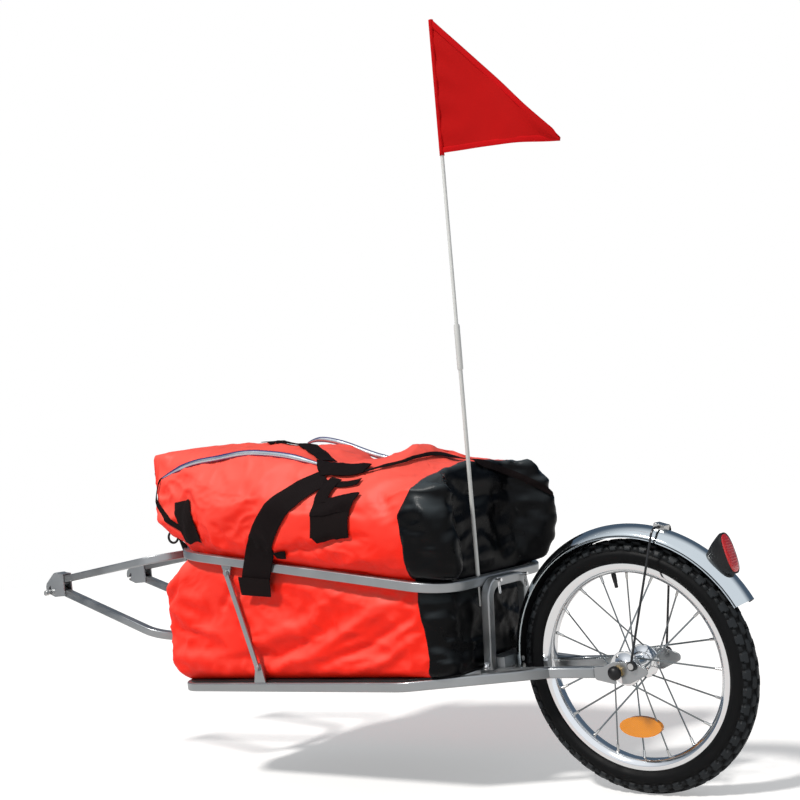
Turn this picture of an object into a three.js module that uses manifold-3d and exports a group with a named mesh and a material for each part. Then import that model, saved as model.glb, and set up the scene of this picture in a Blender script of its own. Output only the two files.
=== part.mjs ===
// Single wheel touring trailer: steered yoke, tubular basket frame, luggage bag,
// spoked rear wheel with fender, and a safety flag on a lift-out pole.
// Millimetres. X runs back from the bicycle's rear axle, Y to the right, Z up.
// The origin is the middle of that axle, halfway between the two hitch brackets.
import * as THREE from 'three';
import { mergeVertices } from 'three/addons/utils/BufferGeometryUtils.js';
import Module from 'manifold-3d';

const wasm = await Module();
wasm.setup();

// Driving dimensions
const wheel_axle_back = 1396;
const wheel_axle_drop = 215;
const rail_drop = 217;
const tube_diameter = 16;
const seat_gap = 0.3;
const running_clearance = 0.15;
const overrun = 5;

const hitch_half_width = 112;
const steering_back = 420;

const lower_loop_front = 470;
const lower_loop_half_width = 155;
const lower_loop_bend = 60;
const stay_half_width = 47;

const upper_loop_front = 466;
const upper_loop_half_width = 161;
const upper_loop_front_bend = 130;
const upper_loop_rear_bend = 58;
const upper_loop_front_rise = 51;
const upper_loop_rear_drop = 63.5;

const tyre_radius = 196;
const fender_front_gap = 16;
const fender_rear_gap = 28;
const tyre_section_radius = 22;
const tyre_height = 37.5;
const rim_edge_radius = tyre_radius - tyre_height;
const spoke_count = 20;

const tube_radius = tube_diameter / 2;
const tube_chamfer = 2.2;
const lean_reach_share = 1.12;
const leaning_reach = tube_radius * lean_reach_share;
const fender_front_radius = tyre_radius + fender_front_gap;
const fender_rear_radius = tyre_radius + fender_rear_gap;
const bend_steps = 5;
const round_sides = 20;
const small_sides = 10;
const cut_sides = 16;
const sides = [['left', -1], ['right', 1]];

// Materials
function paint(color, roughness, metalness) {
  return new THREE.MeshStandardMaterial({ color, roughness, metalness });
}
const silver = paint(0x8c9191, 0.4, 0.7);
const chrome = paint(0xd0d2d4, 0.12, 1);
const steel = paint(0xb4b4b0, 0.3, 0.9);
const brass = paint(0xb0904a, 0.3, 0.9);
const black_plastic = paint(0x141414, 0.5, 0);
const black_fabric = paint(0x101216, 0.6, 0);
const red_fabric = paint(0xe83a22, 0.7, 0);
const flag_red = paint(0xc31919, 0.8, 0);
const rubber = paint(0x17171a, 0.85, 0);
const pole_white = paint(0xd8dad6, 0.35, 0);
const amber = paint(0xc87800, 0.2, 0);
const lens_red = paint(0xbe0000, 0.15, 0);

// Geometry helpers
const vec = (x, y, z) => new THREE.Vector3(x, y, z);
const up_axis = vec(0, 1, 0);

// One closed mesh: shared vertices merged, slivers dropped, faces pointing out.
function tidy(source) {
  const bare = source.clone();
  bare.deleteAttribute('normal');
  bare.deleteAttribute('uv');
  const geometry = mergeVertices(bare);
  const index = geometry.index.array;
  const place = geometry.attributes.position;
  const kept = [];
  let volume = 0;
  const a = vec(0, 0, 0);
  const b = vec(0, 0, 0);
  const c = vec(0, 0, 0);
  for (let i = 0; i < index.length; i += 3) {
    const [p, q, r] = [index[i], index[i + 1], index[i + 2]];
    if (p === q || q === r || r === p) continue;
    kept.push(p, q, r);
    a.fromBufferAttribute(place, p);
    b.fromBufferAttribute(place, q);
    c.fromBufferAttribute(place, r);
    volume += a.dot(b.cross(c));
  }
  geometry.setIndex(volume < 0 ? kept.reverse() : kept);
  return geometry;
}

function solidOf(source) {
  const geometry = tidy(source);
  const mesh = new wasm.Mesh({
    numProp: 3,
    vertProperties: new Float32Array(geometry.attributes.position.array),
    triVerts: new Uint32Array(geometry.index.array),
  });
  return new wasm.Manifold(mesh);
}

function geometryOf(manifold) {
  const mesh = manifold.getMesh();
  const geometry = new THREE.BufferGeometry();
  geometry.setAttribute('position', new THREE.BufferAttribute(new Float32Array(mesh.vertProperties), 3));
  geometry.setIndex(new THREE.BufferAttribute(new Uint32Array(mesh.triVerts), 1));
  return geometry;
}

function join(...parts) {
  return geometryOf(parts.map(solidOf).reduce((whole, part) => whole.add(part)));
}

function cut(body, ...tools) {
  return geometryOf(tools.map(solidOf).reduce((rest, tool) => rest.subtract(tool), solidOf(body)));
}

function overlap(body, tool) {
  return geometryOf(solidOf(body).intersect(solidOf(tool)));
}

function polygon(count, radius) {
  const points = [];
  for (let i = 0; i < count; i += 1) {
    const turn = ((i + 0.5) / count) * 2 * Math.PI;
    points.push(new THREE.Vector2(radius * Math.cos(turn), radius * Math.sin(turn)));
  }
  return new THREE.Shape(points);
}

// Square section with its four corners cut off.
function chamferedSquare(size, chamfer) {
  const h = size / 2;
  const k = h - chamfer;
  const corners = [[h, -k], [h, k], [k, h], [-k, h], [-h, k], [-h, -k], [-k, -h], [k, -h]];
  return new THREE.Shape(corners.map(([x, y]) => new THREE.Vector2(x, y)));
}

// A route of straight runs with round bends; its stations stand only where the tube turns.
class TubeRoute extends THREE.Curve {
  constructor(corners, radii, closed = false) {
    super();
    this.points = [];
    this.tangents = [];
    const count = corners.length;
    if (!closed) this.station(corners[0], corners[1].clone().sub(corners[0]).normalize());
    for (let i = closed ? 0 : 1; i < (closed ? count : count - 1); i += 1) {
      const corner = corners[i];
      const into = corner.clone().sub(corners[(i + count - 1) % count]).normalize();
      const out = corners[(i + 1) % count].clone().sub(corner).normalize();
      this.bend(corner, into, out, radii[i] ?? radii[radii.length - 1]);
    }
    if (closed) this.station(this.points[0], this.tangents[0]);
    else this.station(corners[count - 1], corners[count - 1].clone().sub(corners[count - 2]).normalize());
  }

  station(point, tangent) {
    this.points.push(point.clone());
    this.tangents.push(tangent.clone());
  }

  bend(corner, into, out, radius) {
    const turn = into.angleTo(out);
    const setback = radius * Math.tan(turn / 2);
    const axis = into.clone().cross(out).normalize();
    const start = corner.clone().addScaledVector(into, -setback);
    const centre = start.clone().addScaledVector(axis.clone().cross(into), radius);
    const spoke = start.clone().sub(centre);
    for (let i = 0; i <= bend_steps; i += 1) {
      const angle = (turn * i) / bend_steps;
      this.station(centre.clone().add(spoke.clone().applyAxisAngle(axis, angle)),
        into.clone().applyAxisAngle(axis, angle));
    }
  }

  get steps() { return this.points.length - 1; }

  getPoint(t) { return this.points[Math.round(t * this.steps)].clone(); }

  getPointAt(t) { return this.getPoint(t); }

  getTangent(t) { return this.tangents[Math.round(t * this.steps)].clone(); }

  getTangentAt(t) { return this.getTangent(t); }
}

function sweep(section, route) {
  return new THREE.ExtrudeGeometry(section, {
    steps: route.steps, extrudePath: route, bevelEnabled: false, curveSegments: 1,
  });
}

function roundTube(corners, radii, radius, count) {
  return sweep(polygon(count, radius), new TubeRoute(corners, radii));
}

function rod(start, end, radius, count = small_sides) {
  const along = end.clone().sub(start);
  const geometry = new THREE.CylinderGeometry(radius, radius, along.length(), count);
  geometry.applyQuaternion(new THREE.Quaternion().setFromUnitVectors(up_axis, along.normalize()));
  const middle = start.clone().add(end).multiplyScalar(0.5);
  return geometry.translate(middle.x, middle.y, middle.z);
}

function box(low, high) {
  const size = high.clone().sub(low);
  const middle = low.clone().add(high).multiplyScalar(0.5);
  return new THREE.BoxGeometry(size.x, size.y, size.z).translate(middle.x, middle.y, middle.z);
}

// A profile of [radius, height] pairs turned about Y; turnedUp stands it about Z.
function turned(profile, count = round_sides) {
  return new THREE.LatheGeometry(profile.map(([r, h]) => new THREE.Vector2(r, h)), count);
}

function turnedUp(profile, x, y, count = round_sides) {
  return turned(profile, count).rotateX(Math.PI / 2).translate(x, y, 0);
}

// A plate drawn in the XZ plane, its faces at y_low and y_high.
function plateXZ(outline, y_low, y_high) {
  const settings = { depth: y_high - y_low, bevelEnabled: false, curveSegments: 6 };
  const flat = new THREE.ExtrudeGeometry(outline, settings);
  return flat.rotateX(Math.PI / 2).translate(0, y_high, 0);
}

// A plate drawn in the XY plane, its faces at z_low and z_high.
function plateXY(outline, z_low, z_high) {
  const settings = { depth: z_high - z_low, bevelEnabled: false, curveSegments: 6 };
  const flat = new THREE.ExtrudeGeometry(outline, settings);
  return flat.translate(0, 0, z_low);
}

// A skin over a row of like outlines, closed by a flat face at each end.
function loft(outlines, place) {
  const count = outlines[0].length;
  const position = [];
  const index = [];
  outlines.forEach((outline, k) => outline.forEach((point) => position.push(...place(point, k).toArray())));
  for (let k = 0; k + 1 < outlines.length; k += 1) {
    for (let i = 0; i < count; i += 1) {
      const j = (i + 1) % count;
      const [a, b, c, d] = [k * count + i, k * count + j, (k + 1) * count + j, (k + 1) * count + i];
      index.push(a, b, c, a, c, d);
    }
  }
  const area = THREE.ShapeUtils.area;
  [0, outlines.length - 1].forEach((k) => {
    const outline = outlines[k];
    THREE.ShapeUtils.triangulateShape(outline, []).forEach((face) => {
      const alike = area(face.map((i) => outline[i])) * area(outline) > 0;
      const forward = alike === (k > 0);
      const order = forward ? face : [...face].reverse();
      index.push(...order.map((i) => k * count + i));
    });
  });
  const geometry = new THREE.BufferGeometry();
  geometry.setAttribute('position', new THREE.BufferAttribute(new Float32Array(position), 3));
  geometry.setIndex(index);
  return geometry;
}

// A section carried round a closed flat route, with no ends.
function ring(section, route) {
  const count = section.length;
  const position = [];
  const index = [];
  for (let k = 0; k < route.steps; k += 1) {
    const aside = vec(0, 0, 1).cross(route.tangents[k]);
    const next = (k + 1) % route.steps;
    section.forEach((p, i) => {
      const point = route.points[k].clone().addScaledVector(aside, p.x);
      position.push(point.x, point.y, point.z + p.y);
      const j = (i + 1) % count;
      const [a, b, c, d] = [k * count + i, k * count + j, next * count + j, next * count + i];
      index.push(a, b, c, a, c, d);
    });
  }
  const geometry = new THREE.BufferGeometry();
  geometry.setAttribute('position', new THREE.BufferAttribute(new Float32Array(position), 3));
  geometry.setIndex(index);
  return geometry;
}

const trailer = new THREE.Group();

function addPiece(group, name, geometry, material) {
  const mesh = new THREE.Mesh(tidy(geometry), material);
  mesh.name = name;
  group.add(mesh);
  return mesh;
}

// Steering head
const head_tube_radius = 17;
const head_tube_wall = 4;
const steering_bolt_radius = 6;
const lug_thickness = 5;
const lug_half_width = 20;
const lug_nose_radius = 18;
const bush_flange_thickness = 1.5;
const bush_length = 18;
const upper_lug_low = upper_loop_front_rise + leaning_reach + seat_gap;
const lower_lug_low = -rail_drop + tube_radius + seat_gap;
const lower_lug_high = lower_lug_low + lug_thickness;
const head_top = upper_lug_low - bush_flange_thickness - 2 * seat_gap;
const head_bottom = lower_lug_high + bush_flange_thickness + 2 * seat_gap;

function headTube() {
  const inner = head_tube_radius - head_tube_wall;
  const profile = [[inner, head_bottom], [head_tube_radius, head_bottom], [head_tube_radius, head_top],
    [inner, head_top], [inner, head_bottom]];
  return turnedUp(profile, steering_back, 0);
}

// A flanged bush: the flange lies on the tube's end, the barrel goes into its bore.
function headBush(end, inward) {
  const bore = steering_bolt_radius + running_clearance;
  const barrel = head_tube_radius - head_tube_wall - seat_gap;
  const flange_low = end - inward * seat_gap;
  const flange_high = flange_low - inward * bush_flange_thickness;
  const barrel_end = end + inward * bush_length;
  const profile = [[bore, flange_high], [head_tube_radius, flange_high], [head_tube_radius, flange_low],
    [barrel, flange_low], [barrel, barrel_end], [bore, barrel_end], [bore, flange_high]];
  return turnedUp(profile, steering_back, 0);
}

// A lug plate welded over a loop's front bar, its round nose about the steering bolt.
function headLug(low, loop_front) {
  const rear = loop_front + tube_radius;
  const outline = new THREE.Shape();
  outline.moveTo(rear, -lug_half_width);
  outline.lineTo(rear, lug_half_width);
  outline.lineTo(steering_back + lug_nose_radius, lug_half_width);
  outline.absarc(steering_back, 0, lug_nose_radius, Math.PI / 2, 1.5 * Math.PI, false);
  outline.lineTo(steering_back + lug_nose_radius, -lug_half_width);
  const plate = plateXY(outline, low, low + lug_thickness);
  const hole = rod(vec(steering_back, 0, low - overrun), vec(steering_back, 0, low + lug_thickness + overrun),
    steering_bolt_radius + seat_gap, round_sides);
  return cut(plate, hole);
}

const bolt_head_radius = 10;
const bolt_head_height = 8;
const bolt_tail = 4;
const nut_height = 10;

function steeringBolt() {
  const seat = upper_lug_low + lug_thickness + seat_gap;
  const end = lower_lug_low - seat_gap - nut_height - bolt_tail;
  const at = (z) => vec(steering_back, 0, z);
  const shank = rod(at(end), at(seat), steering_bolt_radius, round_sides);
  const head = rod(at(seat), at(seat + bolt_head_height), bolt_head_radius, 6);
  return join(shank, head);
}

function steeringNut() {
  const top = lower_lug_low - seat_gap;
  const outer = rod(vec(steering_back, 0, top - nut_height), vec(steering_back, 0, top), bolt_head_radius, 6);
  const hole = rod(vec(steering_back, 0, top - nut_height - overrun), vec(steering_back, 0, top + overrun),
    steering_bolt_radius + seat_gap, round_sides);
  return cut(outer, hole);
}

// Yoke: two bent square-tube hoops from the head tube forward to the hitch brackets
const arm_size = 16;
const arm_chamfer = 2;
const arm_front = 22;
const hoop_cross_back = 400;
const hoop_bend = 75;
const upper_arm_rise = 12.2;
const lower_arm_rise = 1.6;
const upper_arm_slope_share = 0.066;
const lower_arm_slope_share = -0.333;

function yokeHoop(rise, slope) {
  const at = (x, y) => vec(x, y, rise + slope * x);
  const corners = [at(arm_front, -hitch_half_width), at(hoop_cross_back, -hitch_half_width),
    at(hoop_cross_back, hitch_half_width), at(arm_front, hitch_half_width)];
  const hoop = sweep(chamferedSquare(arm_size, arm_chamfer), new TubeRoute(corners, [hoop_bend]));
  const saddle = rod(vec(steering_back, 0, -rail_drop), vec(steering_back, 0, rail_drop),
    head_tube_radius + seat_gap, round_sides);
  return cut(hoop, saddle);
}

// Hitch brackets: folded caps over the arm ends with a slanted axle slot and a lock pin
const bracket_plate = 3;
const bracket_nose_radius = 15;
const bracket_top = 33;
const bracket_top_radius = 20;
const bracket_top_back = 28;
const bracket_back = 56;
const bracket_bottom = -22;
const bracket_heel_back = 18;
const bracket_corner_share = 0.75;
const axle_slot_radius = 5;
const lock_pin_radius = 3;
const lock_pin_along = 9;
const lock_pin_aside = 6;
const bracket_half_width = arm_size / 2 + seat_gap + bracket_plate;

// The side outline; an inset draws the hollow inside it, open below and behind.
function bracketOutline(inset) {
  const open = inset > 0 ? overrun : 0;
  const nose = bracket_nose_radius - inset;
  const crown = bracket_top_radius - inset;
  const crown_z = bracket_top - bracket_top_radius;
  const outline = new THREE.Shape();
  outline.absarc(0, 0, nose, -0.7 * Math.PI, -1.3 * Math.PI, true);
  outline.absarc(bracket_top_back, crown_z, crown, 0.72 * Math.PI, 0.35 * Math.PI, true);
  outline.lineTo(bracket_back + open, crown_z + crown * bracket_corner_share);
  outline.lineTo(bracket_back + open, bracket_bottom - open);
  outline.lineTo(bracket_heel_back, bracket_bottom - open);
  if (open) outline.lineTo(nose * Math.cos(0.7 * Math.PI), bracket_bottom - open);
  return outline;
}

function lockPinPlace() {
  const diagonal = Math.SQRT1_2;
  return [(-lock_pin_along + lock_pin_aside) * diagonal, (-lock_pin_along - lock_pin_aside) * diagonal];
}

function hitchBracket(y) {
  const shell = plateXZ(bracketOutline(0), y - bracket_half_width, y + bracket_half_width);
  const hollow = bracket_half_width - bracket_plate;
  const inside = plateXZ(bracketOutline(bracket_plate), y - hollow, y + hollow);
  const low = y - bracket_half_width - overrun;
  const high = y + bracket_half_width + overrun;
  const slot = new THREE.Shape();
  const mouth = -bracket_nose_radius - overrun;
  const side = axle_slot_radius * Math.SQRT1_2;
  slot.moveTo(mouth - side, mouth + side);
  slot.lineTo(-side, side);
  slot.absarc(0, 0, axle_slot_radius, 0.75 * Math.PI, -0.25 * Math.PI, true);
  slot.lineTo(mouth + side, mouth - side);
  const [pin_x, pin_z] = lockPinPlace();
  const pin_hole = rod(vec(pin_x, low, pin_z), vec(pin_x, high, pin_z), lock_pin_radius + seat_gap);
  return cut(shell, inside, plateXZ(slot, low, high), pin_hole);
}

const lock_pin_tip = 2;
const lock_pin_neck = 3;
const lock_pin_grip = 9;
const lock_pin_grip_radius = 6;

// The lock pin crosses both cheeks; its grip stands outside the bracket.
function hitchPin(y, side) {
  const [x, z] = lockPinPlace();
  const tip = y - side * (bracket_half_width + lock_pin_tip);
  const shoulder = y + side * (bracket_half_width + lock_pin_neck);
  const end = shoulder + side * lock_pin_grip;
  const shank = rod(vec(x, tip, z), vec(x, shoulder, z), lock_pin_radius);
  const grip = rod(vec(x, shoulder, z), vec(x, end, z), lock_pin_grip_radius);
  return join(shank, grip);
}

function addYoke() {
  const yoke = new THREE.Group();
  trailer.add(yoke);
  addPiece(yoke, 'head_tube', headTube(), silver);
  addPiece(yoke, 'head_bush_upper', headBush(head_top, -1), black_plastic);
  addPiece(yoke, 'head_bush_lower', headBush(head_bottom, 1), black_plastic);
  addPiece(yoke, 'yoke_upper_hoop', yokeHoop(upper_arm_rise, upper_arm_slope_share), silver);
  addPiece(yoke, 'yoke_lower_hoop', yokeHoop(lower_arm_rise, lower_arm_slope_share), silver);
  sides.forEach(([name, side]) => {
    const y = side * hitch_half_width;
    addPiece(yoke, `hitch_bracket_${name}`, hitchBracket(y), silver);
    addPiece(yoke, `hitch_pin_${name}`, hitchPin(y, side), steel);
  });
}

// Lower frame, all of square tube: open loop, cross tube, stays and dropouts
const rail_z = -rail_drop;
const foot_to_fender = 24;
const cross_tube_ahead = 30;
const taper_ahead = 108;
const taper_behind = 110;
const stay_end_ahead = 24;
const foot_back = wheel_axle_back - fender_front_radius - foot_to_fender;
const cross_tube_back = foot_back - cross_tube_ahead;
const taper_start = foot_back - taper_ahead;
const taper_end = foot_back + taper_behind;
const stay_back = wheel_axle_back - stay_end_ahead;

function squareTube(corners, radii, grow = 0) {
  const size = tube_diameter + 2 * grow;
  return sweep(chamferedSquare(size, tube_chamfer), new TubeRoute(corners, radii));
}

function lowerLoopTube(grow) {
  const at = (x, y) => vec(x, y, rail_z);
  const corners = [at(taper_end, -stay_half_width), at(taper_start, -lower_loop_half_width),
    at(lower_loop_front, -lower_loop_half_width), at(lower_loop_front, lower_loop_half_width),
    at(taper_start, lower_loop_half_width), at(taper_end, stay_half_width)];
  return squareTube(corners, [lower_loop_bend], grow);
}

function stayBar(side, from, grow) {
  const y = side * stay_half_width;
  return squareTube([vec(from, y, rail_z), vec(stay_back, y, rail_z)], [], grow);
}

function crossBar(grow) {
  const at = (y) => vec(cross_tube_back, y, rail_z);
  return squareTube([at(-lower_loop_half_width), at(lower_loop_half_width)], [], grow);
}

function lowerLoop() {
  return cut(lowerLoopTube(0), stayBar(-1, taper_start, seat_gap), stayBar(1, taper_start, seat_gap));
}

function lowerCrossTube() {
  const coped = cut(crossBar(0), lowerLoopTube(seat_gap));
  const keep = box(vec(taper_start, -lower_loop_half_width, -2 * rail_drop),
    vec(taper_end, lower_loop_half_width, 0));
  const pieces = solidOf(overlap(coped, keep)).decompose();
  return geometryOf(pieces.sort((a, b) => b.volume() - a.volume())[0]);
}

// Dropout plates lie on the outer faces of the stay ends
const dropout_thickness = 3;
const dropout_inner = stay_half_width + tube_radius + seat_gap;
const dropout_ahead = 40;
const dropout_behind = 50;
const dropout_front_half_height = 10.5;
const dropout_front_radius = 5;
const dropout_height_above = 15;
const dropout_height_below = 18;
const dropout_tip_radius = 7;
const axle_radius = 5;
const eyelet_back = 27;
const eyelet_rise = 9;
const eyelet_bolt_radius = 2.5;

function stay(side) {
  return cut(stayBar(side, cross_tube_back, 0), crossBar(seat_gap));
}

function dropout(side) {
  const z = -wheel_axle_drop;
  const x = wheel_axle_back;
  const top = z + dropout_height_above;
  const bottom = z - dropout_height_below;
  const corner = dropout_front_radius;
  const corner_x = x - dropout_ahead + corner;
  const corner_z = dropout_front_half_height - corner;
  const outline = new THREE.Shape();
  outline.absarc(corner_x, rail_z - corner_z, corner, 1.5 * Math.PI, Math.PI, true);
  outline.absarc(corner_x, rail_z + corner_z, corner, Math.PI, 0.5 * Math.PI, true);
  outline.lineTo(stay_back, rail_z + dropout_front_half_height);
  outline.lineTo(x - axle_radius, top);
  outline.lineTo(x + eyelet_back, top);
  const tip_x = x + dropout_behind - dropout_tip_radius;
  outline.absarc(tip_x, z, dropout_tip_radius, 0.4 * Math.PI, -0.35 * Math.PI, true);
  outline.lineTo(x + dropout_height_below, bottom);
  outline.lineTo(x - 2 * axle_radius, bottom);
  const inner = side * dropout_inner;
  const outer = side * (dropout_inner + dropout_thickness);
  const low = Math.min(inner, outer);
  const high = Math.max(inner, outer);
  const slot = new THREE.Shape();
  const half = axle_radius + seat_gap;
  slot.moveTo(x + half, bottom - overrun);
  slot.lineTo(x + half, z);
  slot.absarc(x, z, half, 0, Math.PI, false);
  slot.lineTo(x - half, bottom - overrun);
  const eyelet_x = x + eyelet_back;
  const eyelet_z = z + eyelet_rise;
  const eyelet = rod(vec(eyelet_x, low - overrun, eyelet_z), vec(eyelet_x, high + overrun, eyelet_z),
    eyelet_bolt_radius + seat_gap);
  return cut(plateXZ(outline, low, high), plateXZ(slot, low - overrun, high + overrun), eyelet);
}

// Upper loop: a closed ring in a plane that falls to the rear
const foot_rise = 15;
const hoop_lean_share = 0.117;
const hoop_top_drop = 68;
const hoop_half_width = 55;
const rear_hoop_bend = 25;
const foot_z = rail_z + foot_rise;
const hoopX = (z) => foot_back + hoop_lean_share * (z - foot_z);
const hoop_top_back = hoopX(-hoop_top_drop);
const upper_loop_rear = hoop_top_back - tube_diameter - seat_gap;
const upper_slope = -(upper_loop_rear_drop + upper_loop_front_rise) / (upper_loop_rear - upper_loop_front);
const upperZ = (x) => upper_loop_front_rise + upper_slope * (x - upper_loop_front);
const loop_pin_radius = 3;
const loop_pin_half_width = 40;
const pole_half_width = hoop_half_width;
const pole_lean_share = 0.068;
const pole_pin_radius = 1.7;

// Drawn flat from its front bar, then tilted down to the rear.
function upperLoopTube(grow) {
  const tilt = Math.atan(-upper_slope);
  const rear = (upper_loop_rear - upper_loop_front) / Math.cos(tilt);
  const at = (x, side) => vec(x, side * upper_loop_half_width, 0);
  const radii = [upper_loop_front_bend, upper_loop_front_bend, upper_loop_rear_bend, upper_loop_rear_bend];
  const route = new TubeRoute([at(0, -1), at(0, 1), at(rear, 1), at(rear, -1)], radii, true);
  const section = chamferedSquare(tube_diameter + 2 * grow, tube_chamfer).getPoints();
  return ring(section, route).rotateY(tilt).translate(upper_loop_front, 0, upper_loop_front_rise);
}

function polePinCutter() {
  const reach = 2 * tube_diameter;
  const z = -upper_loop_rear_drop;
  const along = vec(pole_lean_share * reach, 0, reach);
  const middle = vec(upper_loop_rear, -pole_half_width, z);
  return rod(middle.clone().sub(along), middle.clone().add(along), pole_pin_radius + seat_gap);
}

function loopPinCutter(y) {
  const z = -(upper_loop_rear_drop + hoop_top_drop) / 2;
  return rod(vec(upper_loop_rear - tube_diameter, y, z), vec(hoop_top_back + tube_diameter, y, z),
    loop_pin_radius + seat_gap);
}

function upperLoop() {
  return cut(upperLoopTube(0), polePinCutter(),
    loopPinCutter(-loop_pin_half_width), loopPinCutter(loop_pin_half_width));
}

// Rear hoop, its foot bolts and the bridge channel between its feet
const foot_bolt_radius = 4;
const foot_bolt_rise = 6.5;
const foot_nut_radius = 5.5;
const acorn_radius = 7;
const acorn_length = 10;
const acorn_dome_share = 0.8;
const bridge_ahead = 11;
const bridge_front = foot_back - bridge_ahead;
const bridge_height = 17;
const bridge_plate = 3;
const tongue_half_width = 16;
const tongue_drop = 12;
const bridge_half_width = hoop_half_width - tube_radius - seat_gap;
const foot_bottom = rail_z + tube_radius + seat_gap;
const bolt_z = foot_bottom + foot_bolt_rise;

function footBoltCutter() {
  return rod(vec(foot_back, -2 * hoop_half_width, bolt_z), vec(foot_back, 2 * hoop_half_width, bolt_z),
    foot_bolt_radius + seat_gap);
}

function rearHoop() {
  const at = (y, z) => vec(hoopX(z), y, z);
  const corners = [at(-hoop_half_width, foot_bottom - tube_radius), at(-hoop_half_width, -hoop_top_drop),
    at(hoop_half_width, -hoop_top_drop), at(hoop_half_width, foot_bottom - tube_radius)];
  const hoop = squareTube(corners, [rear_hoop_bend]);
  const below = box(vec(foot_back - tube_diameter, -2 * hoop_half_width, foot_bottom - tube_diameter),
    vec(foot_back + tube_diameter, 2 * hoop_half_width, foot_bottom));
  const pins = [-loop_pin_half_width, loop_pin_half_width].map(loopPinCutter);
  return cut(hoop, below, footBoltCutter(), ...pins);
}

function footBolt(side) {
  const thread_end = side * (bridge_half_width - bridge_plate - seat_gap);
  const seat = side * (hoop_half_width + tube_radius + seat_gap);
  const inner_end = thread_end - side * bridge_plate;
  const shank = rod(vec(foot_back, inner_end, bolt_z), vec(foot_back, seat, bolt_z), foot_bolt_radius);
  const nut = rod(vec(foot_back, inner_end, bolt_z), vec(foot_back, thread_end, bolt_z), foot_nut_radius, 6);
  const acorn = turned([[0, 0], [acorn_radius, 0], [acorn_radius, acorn_length / 2],
    [acorn_radius * acorn_dome_share, acorn_length * acorn_dome_share], [0, acorn_length]], 6);
  if (side < 0) acorn.rotateX(Math.PI);
  acorn.translate(foot_back, seat, bolt_z);
  return join(shank, nut, acorn);
}

// The two fender bolts pass along X through the bridge's rear flange
const fender_half_width = 28;
const fender_sag = 17;
const fender_thickness = 1.2;
const fender_cut_reach = 21;
const fender_front_turn = Math.PI * 1.01;
const fender_rear_turn = Math.PI * 0.133;
const fender_bolt_radius = 2.5;
const fender_bolt_head_radius = 4.5;
const fender_bolt_head = 3;
const fender_bolt_low = 1;
const fender_bolt_pitch = 12;
const bridge_rear = wheel_axle_back - fender_front_radius - seat_gap;

function fenderBoltZ(number) {
  return -wheel_axle_drop + fender_bolt_low + number * fender_bolt_pitch;
}

function fenderBoltCutter(number) {
  const z = fenderBoltZ(number);
  return rod(vec(bridge_rear - 2 * overrun, 0, z), vec(bridge_rear + 2 * overrun, 0, z),
    fender_bolt_radius + seat_gap);
}

function hoopBridge() {
  const top = foot_bottom + bridge_height;
  const w = bridge_half_width;
  const block = box(vec(bridge_front, -w, foot_bottom), vec(bridge_rear, w, top));
  const hollow = box(vec(bridge_front + bridge_plate, -w + bridge_plate, foot_bottom - overrun),
    vec(bridge_rear - bridge_plate, w - bridge_plate, top - bridge_plate));
  const tongue = box(vec(bridge_rear - bridge_plate, -tongue_half_width, foot_bottom - tongue_drop),
    vec(bridge_rear, tongue_half_width, top - bridge_plate));
  return cut(join(cut(block, hollow), tongue), footBoltCutter(), fenderBoltCutter(0), fenderBoltCutter(1));
}

function fenderBolt(number) {
  const z = fenderBoltZ(number);
  const nut_face = bridge_rear - bridge_plate - seat_gap;
  const offset = fender_bolt_low + fender_bolt_pitch + fender_bolt_head_radius;
  const sag = fender_front_radius - Math.sqrt(fender_front_radius ** 2 - offset ** 2);
  const head_face = bridge_rear + seat_gap + fender_thickness + sag + 2 * seat_gap;
  const shank = rod(vec(nut_face, 0, z), vec(head_face, 0, z), fender_bolt_radius);
  const nut = rod(vec(nut_face - fender_bolt_head, 0, z), vec(nut_face, 0, z), fender_bolt_head_radius, 6);
  const head = rod(vec(head_face, 0, z), vec(head_face + fender_bolt_head, 0, z), fender_bolt_head_radius);
  return join(shank, nut, head);
}

// Pins that hold the upper loop to the rear hoop, each with a hairpin clip behind
const loop_pin_head_radius = 5.5;
const loop_pin_head = 3;
const clip_wire_radius = 1;
const clip_length = 22;
const clip_half_width = 4;

function loopPin(side) {
  const y = side * loop_pin_half_width;
  const z = -(upper_loop_rear_drop + hoop_top_drop) / 2;
  const front = upper_loop_rear - leaning_reach - seat_gap;
  const back = hoop_top_back + tube_radius + 3 * clip_half_width;
  const clip_x = hoop_top_back + tube_radius + seat_gap + clip_half_width;
  const shank = rod(vec(front, y, z), vec(back, y, z), loop_pin_radius);
  const head = rod(vec(front - loop_pin_head, y, z), vec(front, y, z), loop_pin_head_radius);
  const at = (dy, dz) => vec(clip_x, y + dy, z + dz);
  const clip = roundTube([at(0, clip_half_width), at(0, -clip_length), at(clip_half_width, -clip_length),
    at(clip_half_width, 0)], [clip_half_width / 3], clip_wire_radius, 6);
  return join(shank, head, clip);
}

// Front struts: flat bars riveted to tapered brackets on both rails
const strut_plane = 159;
const strut_bracket_thickness = 3;
const strut_thickness = 3;
const strut_half_width = 5.5;
const strut_top_back = 656;
const strut_top_rivet_drop = 23;
const strut_foot_back = 712;
const strut_foot_rivet_rise = 35;
const strut_bracket_nose = 8.5;
const strut_bracket_half_length = 17;
const rivet_radius = 3;
const rivet_head_radius = 5;
const rivet_head = 2;
const rivet_sides = 8;
const strut_top_z = upperZ(strut_top_back) - strut_top_rivet_drop;
const strut_foot_z = rail_z + strut_foot_rivet_rise;

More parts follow.
